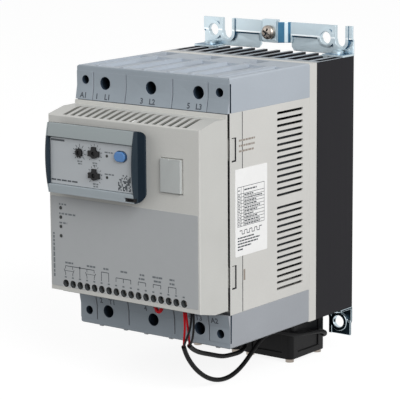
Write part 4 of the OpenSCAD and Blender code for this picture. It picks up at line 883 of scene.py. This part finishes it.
second_finish("module_body", navy_lit_plastic, lambda c, n: n.y < -0.6
              or n.x > 0.7 and not CAP_EDGES_Y[0] < c.y < CAP_EDGES_Y[1])
second_finish("module_body", bezel_plastic, lambda c, n: on_left_cap(c, n) and c.z > BANDS_Z[1])
second_finish("module_body", low_bezel_lit_plastic,
              lambda c, n: on_left_cap(c, n) and c.z < BANDS_Z[0])
second_finish("module_bezel", low_bezel_lit_plastic, lambda c, n: c.z < BANDS_Z[0] + 1)
second_finish("reset_button", button_rim_plastic, lambda c, n: n.y > -0.6)

# %% [markdown]
# Print is a thin layer of ink. It could be painted by a texture, but there is no image here, and
# a drawn line stays crisp at any distance. So each mark is a slab of ink a few hundredths of a
# millimetre high, on the plane that carries it. A plane is given as a function of two measures
# and a height, and a stroke runs from one point of it to another.

# %% Strokes of ink
INK_MM, SUNK_MM = 0.03, 0.01


def on_front(y):
    return lambda u, v, h: at(u, y - h, v)


def on_right(x):
    return lambda u, v, h: at(x + h, u, v)


def inked(name, strokes, plane, finish, slot, body="starter"):
    bm = bmesh.new()
    for (u0, v0), (u1, v1), width in strokes:
        run = Vector((u1 - u0, v1 - v0)).normalized()
        side = Vector((-run.y, run.x)) * width / 2
        foot = [(u0 + side.x, v0 + side.y), (u1 + side.x, v1 + side.y),
                (u1 - side.x, v1 - side.y), (u0 - side.x, v0 - side.y)]
        low = [bm.verts.new(plane(u, v, -SUNK_MM)) for u, v in foot]
        high = [bm.verts.new(plane(u, v, INK_MM)) for u, v in foot]
        bm.faces.new(low)
        bm.faces.new(high)
        for i in range(4):
            j = (i + 1) % 4
            bm.faces.new((low[i], low[j], high[j], high[i]))
    bmesh.ops.recalc_face_normals(bm, faces=bm.faces)
    mesh = as_mesh(bm, name)
    mesh.materials.append(finish)
    print(name, len(strokes), "strokes")
    return carried(new_object(name, mesh), body, slot)


def bar(u0, u1, v0, v1):
    middle = (v0 + v1) / 2
    return (u0, middle), (u1, middle), v1 - v0


print("ink stands", INK_MM, "mm high")

# %% [markdown]
# The cover's film carries a terminal diagram: rails, contacts and brackets over the row of
# seventeen control terminals, with a short line of small print over each group. The small print
# can't be read at this size, so it is drawn as bars with gaps of a fixed seed.

# %% Helpers for print on the film
FILM_Y, SHORTEST_WORD = -29.35, 0.4


def small_print(dice, u0, u1, v, height, word=(1.2, 3.2), gap=0.7):
    words, u = [], u0
    while u < u1 - SHORTEST_WORD:
        end = min(u + dice.uniform(*word), u1)
        words.append(bar(u, end, v - height / 2, v + height / 2))
        u = end + gap
    return words


def polyline(points, width):
    return [(a, b, width) for a, b in zip(points, points[1:])]


print("the film's face is at", FILM_Y, "mm")

# %% [markdown]
# The diagram itself is a few straight lines between terminals, so it is written as such: a rail
# with four contacts on the left, and a bracket over each of the other groups.

# %% Terminal diagram
LINE, RAIL_Z = 0.45, 44.5
diagram = polyline([(terminal(1), RAIL_Z), (terminal(5), RAIL_Z)], LINE)
for i in (1, 2, 4, 5):
    x = terminal(i)
    lean = 1.2 if i in (2, 5) else -1.2
    diagram += polyline([(x, RAIL_Z), (x, 42.6)], LINE)
    diagram += polyline([(x + lean, 42.4), (x, 39.8), (x, 38.4)], LINE)
diagram += polyline([(terminal(3), RAIL_Z), (terminal(3), 38.2)], LINE)
diagram += [bar(terminal(3) - 0.6, terminal(3) + 0.6, 43.9, 45.1)]
for i in (1, 4):
    diagram += polyline([(terminal(i) - 0.4, 41.4), (terminal(i + 1) + 0.6, 41.4)], 0.3)
for first, last, top, low in ((6, 7, 44.3, 38.5), (8, 10, 42.2, 39.6), (11, 12, 42, 39.8),
                              (13, 14, 42, 39.8), (15, 16, 42, 38.2)):
    diagram += polyline([(terminal(first), low), (terminal(first), top),
                         (terminal(last), top), (terminal(last), low)], LINE)
diagram += polyline([(terminal(9), 42.2), (terminal(9), 39.6)], LINE)
inked("terminal_diagram", diagram, on_front(FILM_Y), dark_ink, "printed_film")

# %% [markdown]
# Captions stand over each group and beside the lights, a short mark over each terminal, and one
# line of small print runs up the film's left edge. That line could have a function of its own, but
# it is the same small print with the two measures of each stroke swapped.

# %% Captions on the film
dice = random.Random(11)
captions = []
for u0, u1, v in ((-47.2, -40.6, 46.6), (-29.5, -22.5, 46.6), (-16, -11.2, 46.6),
                  (-2.2, 3.1, 46.6), (13, 17, 46.6), (12.2, 17, 44.1), (23, 30.6, 46.6),
                  (24, 29.6, 44.1), (36.2, 40, 46.6), (36.2, 40, 44.1)):
    captions += small_print(dice, u0, u1, v, 1.2, gap=0.4)
for u1, v in ((-45, 83.7), (-37.5, 77.7), (-45, 71.8)):
    captions += small_print(dice, -51.5, u1, v, 1.1)
for number in TERMINALS:
    captions.append(bar(terminal(number) - 0.8, terminal(number) + 0.8, 36.7, 37.7))
for (v0, u0), (v1, u1), width in small_print(dice, 36.5, 65, -56.2, 1.3):
    captions.append(((u0, v0), (u1, v1), width))
inked("film_small_print", captions, on_front(FILM_Y), grey_ink, "printed_film")

# %% [markdown]
# The module's face has a heading bar, captions beside its lights and dials, a thin dark border
# and a field of small tiles in its corner. The tiles mean nothing, so a seeded die sets them.

# %% Print on the module's face
FACE_Y = -39.7
face_marks = [bar(-48.8, 18.1, 128.0, 128.7), bar(-48.8, 18.1, 98.9, 99.2),
              bar(-48.8, -48.4, 98.9, 128.7), bar(17.8, 18.1, 98.9, 128.7),
              bar(-47.9, -36.9, 126.0, 127.2)]
face_marks += small_print(dice, -48.1, -26.3, 101.6, 1.0, word=(2, 4.5))
inked("face_headings", face_marks, on_front(FACE_Y), dark_ink, "face_film")
face_small = []
for u0, u1, v in ((-4.8, 2.1, 122.5), (-5, 2.3, 109.0), (-26.7, -22.5, 114.9),
                  (-26.2, -23, 113.4), (-14.6, -10.8, 114.9), (-14.2, -11.2, 113.4),
                  (-14.6, -10, 101.9), (-14.2, -10.6, 100.4)):
    face_small += small_print(dice, u0, u1, v, 0.9, word=(1.4, 2.6), gap=0.5)
inked("face_small_print", face_small, on_front(FACE_Y), grey_ink, "face_film")
CELL, CELLS = 0.9, 11
tiles = []
for row in range(CELLS):
    for column in range(CELLS):
        if dice.random() < 0.55:
            u, v = 5.5 + column * CELL, 100.0 + row * CELL
            tiles.append(bar(u, u + CELL, v, v + CELL))
inked("face_tiles", tiles, on_front(FACE_Y), dark_ink, "face_film")

# %% [markdown]
# The label on the right side is a table: thin rules, and rows of small print, drawn as bars like
# that on the film. A square wave runs under the table. The housing itself carries a few faded rows
# above the label and one short upright bar below it.

# %% Print on the label and the housing
LABEL_X, HOUSING_X, RULE = 60.15, 60.0, 0.3
RULES_Z = (100.1, 95.8, 93.9, 91.7, 89.8, 87.7, 85.6, 83.7, 81.5, 79.6, 77.5, 75.6)
COLUMNS_Y = (8.1, 11.7, 14.3, 36)
rules = [((COLUMNS_Y[0], z), (COLUMNS_Y[-1], z), RULE) for z in RULES_Z]
rules += [((y, RULES_Z[-1]), (y, RULES_Z[0]), RULE) for y in COLUMNS_Y]
inked("label_rules", rules, on_right(LABEL_X), dark_ink, "white_label")
rows = []
for high, low in zip(RULES_Z, RULES_Z[1:]):
    v = (high + low) / 2
    rows += small_print(dice, 8.7, 11.2, v, 0.7, word=(0.8, 2))
    rows += small_print(dice, 15, dice.uniform(24, 34.5), v, 0.9, gap=0.5)
for u1, v in ((25, 68.4), (31, 66.6), (29, 64.8), (22, 63.0), (14, 61.2)):
    rows += small_print(dice, 8.1, u1, v, 0.9, gap=0.4)
wave = [(10 + 2.6 * (k // 2), 72.9 if (k + 1) // 2 % 2 else 70.6) for k in range(1, 19)]
rows += polyline(wave, 0.5)
inked("label_small_print", rows, on_right(LABEL_X), dark_ink, "white_label")
faded = [bar(14.2, 16, 41.3, 48.2)]
for v in (128.9, 125.6, 122.3):
    faded += small_print(dice, 9.8, dice.uniform(23, 27), v, 1.2, gap=0.5)
inked("housing_small_print", faded, on_right(HOUSING_X), brown_ink, "light_grey_moulding")

# %% [markdown]
# The terminals carry the marks that every such device has: odd numbers and L for the mains side,
# even numbers and T for the motor side. A font curve gives clean letters. It is turned into a
# mesh, and the mesh is laid on the leaning terminal face by one matrix.

# %% Terminal marks
FACE_LEAN, UPPER_LEAN_Z, LOWER_LEAN_Z = 1.7 / 8.5, 155.1, 12.9
MARK_HIGH, CAPITAL, BOLDER_MM = 3.4, 0.7, 0.14


def letters(name, marks, finish, slot, thick=INK_MM, body="starter"):
    bm = bmesh.new()
    for words, size, place in marks:
        font = bpy.data.curves.new(name, "FONT")
        font.body = words
        font.size = size / CAPITAL * MM
        font.extrude = thick * MM / 2
        font.offset = BOLDER_MM * MM
        font.resolution_u = 3
        holder = new_object(name, font)
        mesh = evaluated_mesh(holder)
        mesh.transform(place)
        bm.from_mesh(mesh)
        bpy.data.objects.remove(holder)
        bpy.data.meshes.remove(mesh)
        bpy.data.curves.remove(font)
    bmesh.ops.remove_doubles(bm, verts=bm.verts, dist=1e-7)
    mesh = as_mesh(bm, name)
    mesh.materials.append(finish)
    print(name, len(mesh.polygons), "faces")
    return carried(new_object(name, mesh), body, slot)


def facing_front(x, y, z, lean=0.0):
    across, climb = Vector((1, 0, 0)), Vector((0, lean, 1)).normalized()
    place = Matrix((across, climb, across.cross(climb))).transposed().to_4x4()
    place.translation = at(x, y - INK_MM / 2, z)
    return place


def block_mark(words, x, z, upper):
    if upper:
        return words, MARK_HIGH, facing_front(x, -FACE_LEAN * (UPPER_LEAN_Z - z), z, FACE_LEAN)
    return words, MARK_HIGH, facing_front(x, -FACE_LEAN * (z - LOWER_LEAN_Z), z, -FACE_LEAN)


marks = [block_mark(w, x, 147.6, True) for w, x in (
    ("A1", -56.6), ("1", -44), ("L1", -36.6), ("3", -7.8), ("L2", -0.8), ("5", 28.8),
    ("L3", 35.5))]
marks += [block_mark(w, x, 15.4, False) for w, x in (
    ("2", -43.3), ("T1", -35.8), ("4", -6.9), ("T2", 0.5), ("6", 28.3), ("T3", 33.8),
    ("A2", 45.9))]
letters("terminal_marks", marks, block_ink, "block_moulding")

# %% [markdown]
# Round each dial runs a scale of short ticks. A scale follows a rule, so Geometry Nodes draw it:
# a line of points is bent into an arc, a tick is set on each point and turned to look outward.
# Count, radius and sweep are inputs, and one tree serves all three dials.

# %% A tree that draws a scale
def group_with(name, sockets):
    tree = bpy.data.node_groups.new(name, "GeometryNodeTree")
    tree.is_modifier = True
    ids = {}
    for label, kind in sockets:
        made = tree.interface.new_socket(name=label, in_out="INPUT", socket_type=kind)
        ids[label] = made.identifier
    tree.interface.new_socket(name="Geometry", in_out="OUTPUT", socket_type="NodeSocketGeometry")
    return tree, ids


def scale_tree():
    tree, ids = group_with("dial_scale", [
        ("Ticks", "NodeSocketInt"), ("Radius", "NodeSocketFloat"), ("Sweep", "NodeSocketFloat"),
        ("Tick Size", "NodeSocketVector"), ("Centre", "NodeSocketVector"),
        ("Ink", "NodeSocketMaterial")])
    given = add(tree, "NodeGroupInput").outputs
    line = add(tree, "GeometryNodeMeshLine", {"Count": given["Ticks"]})
    last = add(tree, "ShaderNodeMath", {0: given["Ticks"], 1: 1.0}, operation="SUBTRACT")
    index = add(tree, "GeometryNodeInputIndex")
    share = add(tree, "ShaderNodeMath", {0: index.outputs[0], 1: last.outputs[0]},
                operation="DIVIDE")
    centred = add(tree, "ShaderNodeMath", {0: share.outputs[0], 1: 0.5}, operation="SUBTRACT")
    angle = add(tree, "ShaderNodeMath", {0: centred.outputs[0], 1: given["Sweep"]},
                operation="MULTIPLY")
    turned = add(tree, "ShaderNodeCombineXYZ", {"Y": angle.outputs[0]})
    rise = add(tree, "ShaderNodeCombineXYZ", {"Z": given["Radius"]})
    spoke = add(tree, "ShaderNodeVectorRotate", {
        "Vector": rise.outputs[0], "Rotation": turned.outputs[0]}, rotation_type="EULER_XYZ")
    spot = add(tree, "ShaderNodeVectorMath", {0: spoke.outputs[0], 1: given["Centre"]})
    bent = add(tree, "GeometryNodeSetPosition", {
        "Geometry": line.outputs[0], "Position": spot.outputs[0]})
    tick = add(tree, "GeometryNodeMeshCube", {"Size": given["Tick Size"]})
    facing = add(tree, "FunctionNodeEulerToRotation", {0: turned.outputs[0]})
    ticks = add(tree, "GeometryNodeInstanceOnPoints", {
        "Points": bent.outputs[0], "Instance": tick.outputs[0], "Rotation": facing.outputs[0]})
    real = add(tree, "GeometryNodeRealizeInstances", {0: ticks.outputs[0]})
    done = add(tree, "GeometryNodeSetMaterial", {
        "Geometry": real.outputs[0], "Material": given["Ink"]})
    add(tree, "NodeGroupOutput", {0: done.outputs[0]})
    return tree, ids


scale, scale_ids = scale_tree()
print("inputs of the scale:", list(scale_ids))

# %% [markdown]
# An empty object gets the tree as a modifier. Its inputs are set by their identifiers, the result
# is read back as a plain mesh, and the modifier is taken off again.

# %% Dial scales by Geometry Nodes
def grown(name, tree, ids, values, slot, body="starter", replaced=()):
    holder = new_object(name, bpy.data.meshes.new(name))
    growth = holder.modifiers.new("growth", "NODES")
    growth.node_group = tree
    for label, value in values.items():
        growth[ids[label]] = value
    mesh = evaluated_mesh(holder)
    holder.modifiers.remove(growth)
    holder.data = mesh
    print(name, len(mesh.polygons), "faces")
    return carried(holder, body, slot, *replaced)


TICK_W, TICK_HIGH, DIAL_SWEEP = 0.4, 0.04, 270
for name, x, z, radius, ticks, tick_mm in (("current_scale", -24.8, 120.3, 4.5, 9, 1.9),
                                           ("ramp_up_scale", -12.9, 120.8, 5.5, 11, 1.1),
                                           ("ramp_down_scale", -12.9, 107.2, 5.5, 11, 1.1)):
    grown(name, scale, scale_ids, {
        "Ticks": ticks, "Radius": radius * MM, "Sweep": math.radians(DIAL_SWEEP),
        "Tick Size": Vector((TICK_W, TICK_HIGH, tick_mm)) * MM,
        "Centre": at(x, FACE_Y - SUNK_MM, z),
        "Ink": dark_ink}, "face_film")

# %% [markdown]
# Seventeen slotted screws stand in the wells of the control strip. Nobody turns them to the same
# angle, so equal copies would look wrong. One head is modelled, two half discs on a plate with
# the slot between them, and Geometry Nodes set it seventeen times with a seeded random turn.

# %% A slotted head
HEAD_R, SLOT_W, HEAD_HIGH, SLOT_DEEP, OVERLAP, HEAD_EDGE = 1.85, 0.75, 4.0, 0.8, 0.05, 0.2


def prism(bm, outline, y0, y1, edge=0.0):
    rings = [(y0, 0.0), (y1 + edge, 0.0), (y1, edge)] if edge else [(y0, 0.0), (y1, 0.0)]
    middle = sum((Vector(p) for p in outline), Vector((0, 0))) / len(outline)
    loops = []
    for y, inset in rings:
        loop = []
        for p in outline:
            q = Vector(p) + (middle - Vector(p)).normalized() * inset
            loop.append(bm.verts.new(Vector((q.x, y, q.y)) * MM))
        loops.append(loop)
    for a, b in zip(loops, loops[1:]):
        for i in range(len(a)):
            j = (i + 1) % len(a)
            bm.faces.new((a[i], a[j], b[j], b[i]))
    bm.faces.new(loops[0])
    bm.faces.new(loops[-1])


def slotted_head():
    bm = bmesh.new()
    disc = [(HEAD_R * math.cos(a), HEAD_R * math.sin(a))
            for a in (2 * math.pi * i / 24 for i in range(24))]
    prism(bm, disc, HEAD_HIGH, SLOT_DEEP)
    open_angle = math.asin(SLOT_W / 2 / HEAD_R)
    for start in (open_angle, math.pi + open_angle):
        sweep = math.pi - 2 * open_angle
        turns = [start + sweep * i / 12 for i in range(13)]
        half = [(HEAD_R * math.cos(a), HEAD_R * math.sin(a)) for a in turns]
        prism(bm, half, SLOT_DEEP + OVERLAP, 0.0, edge=HEAD_EDGE)
    bmesh.ops.recalc_face_normals(bm, faces=bm.faces)
    return new_object("slotted_head", as_mesh(bm, "slotted_head"))


head = slotted_head()
print("screw head:", len(head.data.polygons), "faces")

# %% [markdown]
# The row is a line of points at the terminals' pitch. On each point stands the head, turned by an
# angle that a seed fixes, and the finished row replaces the plain heads of the solid.

# %% A row of control screws by Geometry Nodes
def screw_row_tree():
    tree, ids = group_with("screw_row", [
        ("Count", "NodeSocketInt"), ("First", "NodeSocketVector"), ("Step", "NodeSocketVector"),
        ("Head", "NodeSocketObject"), ("Seed", "NodeSocketInt"), ("Metal", "NodeSocketMaterial")])
    given = add(tree, "NodeGroupInput").outputs
    row = add(tree, "GeometryNodeMeshLine", {
        "Count": given["Count"], "Start Location": given["First"], "Offset": given["Step"]})
    head = add(tree, "GeometryNodeObjectInfo", {"Object": given["Head"]})
    angle = add(tree, "FunctionNodeRandomValue", {
        2: math.radians(15), 3: math.radians(75), "Seed": given["Seed"]}, data_type="FLOAT")
    turned = add(tree, "ShaderNodeCombineXYZ", {"Y": angle.outputs[1]})
    facing = add(tree, "FunctionNodeEulerToRotation", {0: turned.outputs[0]})
    heads = add(tree, "GeometryNodeInstanceOnPoints", {
        "Points": row.outputs[0], "Instance": head.outputs["Geometry"],
        "Rotation": facing.outputs[0]})
    real = add(tree, "GeometryNodeRealizeInstances", {0: heads.outputs[0]})
    done = add(tree, "GeometryNodeSetMaterial", {
        "Geometry": real.outputs[0], "Material": given["Metal"]})
    add(tree, "NodeGroupOutput", {0: done.outputs[0]})
    return tree, ids


HEADS_Y = -25.5
screw_row, screw_ids = screw_row_tree()
grown("control_screws", screw_row, screw_ids, {
    "Count": len(TERMINALS), "First": at(terminal(TERMINALS[0]), HEADS_Y, CONTROL_Z),
    "Step": Vector((PITCH * MM, 0.0, 0.0)), "Head": head, "Seed": 4, "Metal": terminal_steel},
    "screw_steel", replaced=["control_terminal_screws"])
bpy.data.objects.remove(head)

# %% [markdown]
# A studio for a small product is a white sweep and soft boxes. The floor shows white to the
# camera and keeps a faint shadow. A large soft box stands on the right, a weak one on the left,
# and the world fills in the rest. The sum stays near one, so that colours come out about as they
# are written. White is shown only to rays that come straight from the lens, from a mirror or
# through glass, so that the floor and the sky don't light the object with it.

# %% Floor
def seen_directly(tree):
    ray = add(tree, "ShaderNodeLightPath").outputs
    seen = ray["Is Camera Ray"]
    for kind in ("Is Glossy Ray", "Is Transmission Ray"):
        seen = add(tree, "ShaderNodeMath", {0: seen, 1: ray[kind]}, operation="MAXIMUM").outputs[0]
    return seen


floor_mesh = bpy.data.meshes.new("floor")
FLOOR_HALF_M, FLOOR_GAP_M = 9, 0.0003
floor_mesh.from_pydata([(x * FLOOR_HALF_M, y * FLOOR_HALF_M, cad_low.z - FLOOR_GAP_M)
                        for x, y in ((-1, -1), (1, -1), (1, 1), (-1, 1))], [], [(0, 1, 2, 3)])
floor = new_object("floor", floor_mesh)
floor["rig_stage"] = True
floor_finish, tree = new_material("studio_floor")
paper = add(tree, "ShaderNodeBsdfDiffuse", {"Color": linear("#8a8a8a")})
shaded = add(tree, "ShaderNodeBsdfDiffuse", {"Color": (0.22, 0.22, 0.22, 1.0)})
glow = add(tree, "ShaderNodeEmission", {"Color": (1.0, 1.0, 1.0, 1.0), "Strength": 0.88})
white = add(tree, "ShaderNodeAddShader", {0: shaded.outputs[0], 1: glow.outputs[0]})
surface = add(tree, "ShaderNodeMixShader", {
    0: seen_directly(tree), 1: paper.outputs[0], 2: white.outputs[0]})
add(tree, "ShaderNodeOutputMaterial", {"Surface": surface.outputs[0]})
floor_mesh.materials.append(floor_finish)
print("floor at", round(cad_low.z - FLOOR_GAP_M, 4), "m")

# %% [markdown]
# A bare lamp would throw hard shadows. A soft box is a square area lamp that looks at the object,
# and its way from the object and its size give the shadows their place and softness. The key is
# much the stronger, and the fill only lifts the front a little. The world's light comes from all
# sides and reaches into the recesses.

# %% Light and world
def soft_box(name, way, size, watts, away=2.6):
    lamp = bpy.data.lights.new(name, "AREA")
    lamp.shape = "SQUARE"
    lamp.size = size
    lamp.energy = watts
    box = new_object(name, lamp)
    box.location = way.normalized() * away
    box.rotation_euler = way.to_track_quat("Z", "Y").to_euler()
    print(name, "at", tuple(round(v, 2) for v in box.location))


soft_box("key_box", Vector((0.85, -0.45, 0.5)), 1.8, 54.0)
soft_box("fill_box", Vector((-0.45, -0.85, 0.25)), 2.0, 9.0)

world = bpy.data.worlds.new("studio")
bpy.context.scene.world = world
world.use_nodes = True
tree = world.node_tree
tree.nodes.clear()
level = add(tree, "ShaderNodeMapRange", {
    "Value": seen_directly(tree), "To Min": 0.39, "To Max": 1.0})
sky = add(tree, "ShaderNodeBackground", {
    "Color": (1.0, 1.0, 1.0, 1.0), "Strength": level.outputs[0]})
add(tree, "ShaderNodeOutputWorld", {"Surface": sky.outputs[0]})
bpy.context.scene.view_settings.view_transform = "Standard"
print("world light:", level.inputs["To Min"].default_value)

# %% [markdown]
# Last, the size of the dressed model is printed. Blender adds looks and not size, so it should match
# the CAD model's box to a few millimetres.

# %% Sizes and finish
low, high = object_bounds()
print("size:", tuple(round(v * 1000, 1) for v in high - low), "mm")
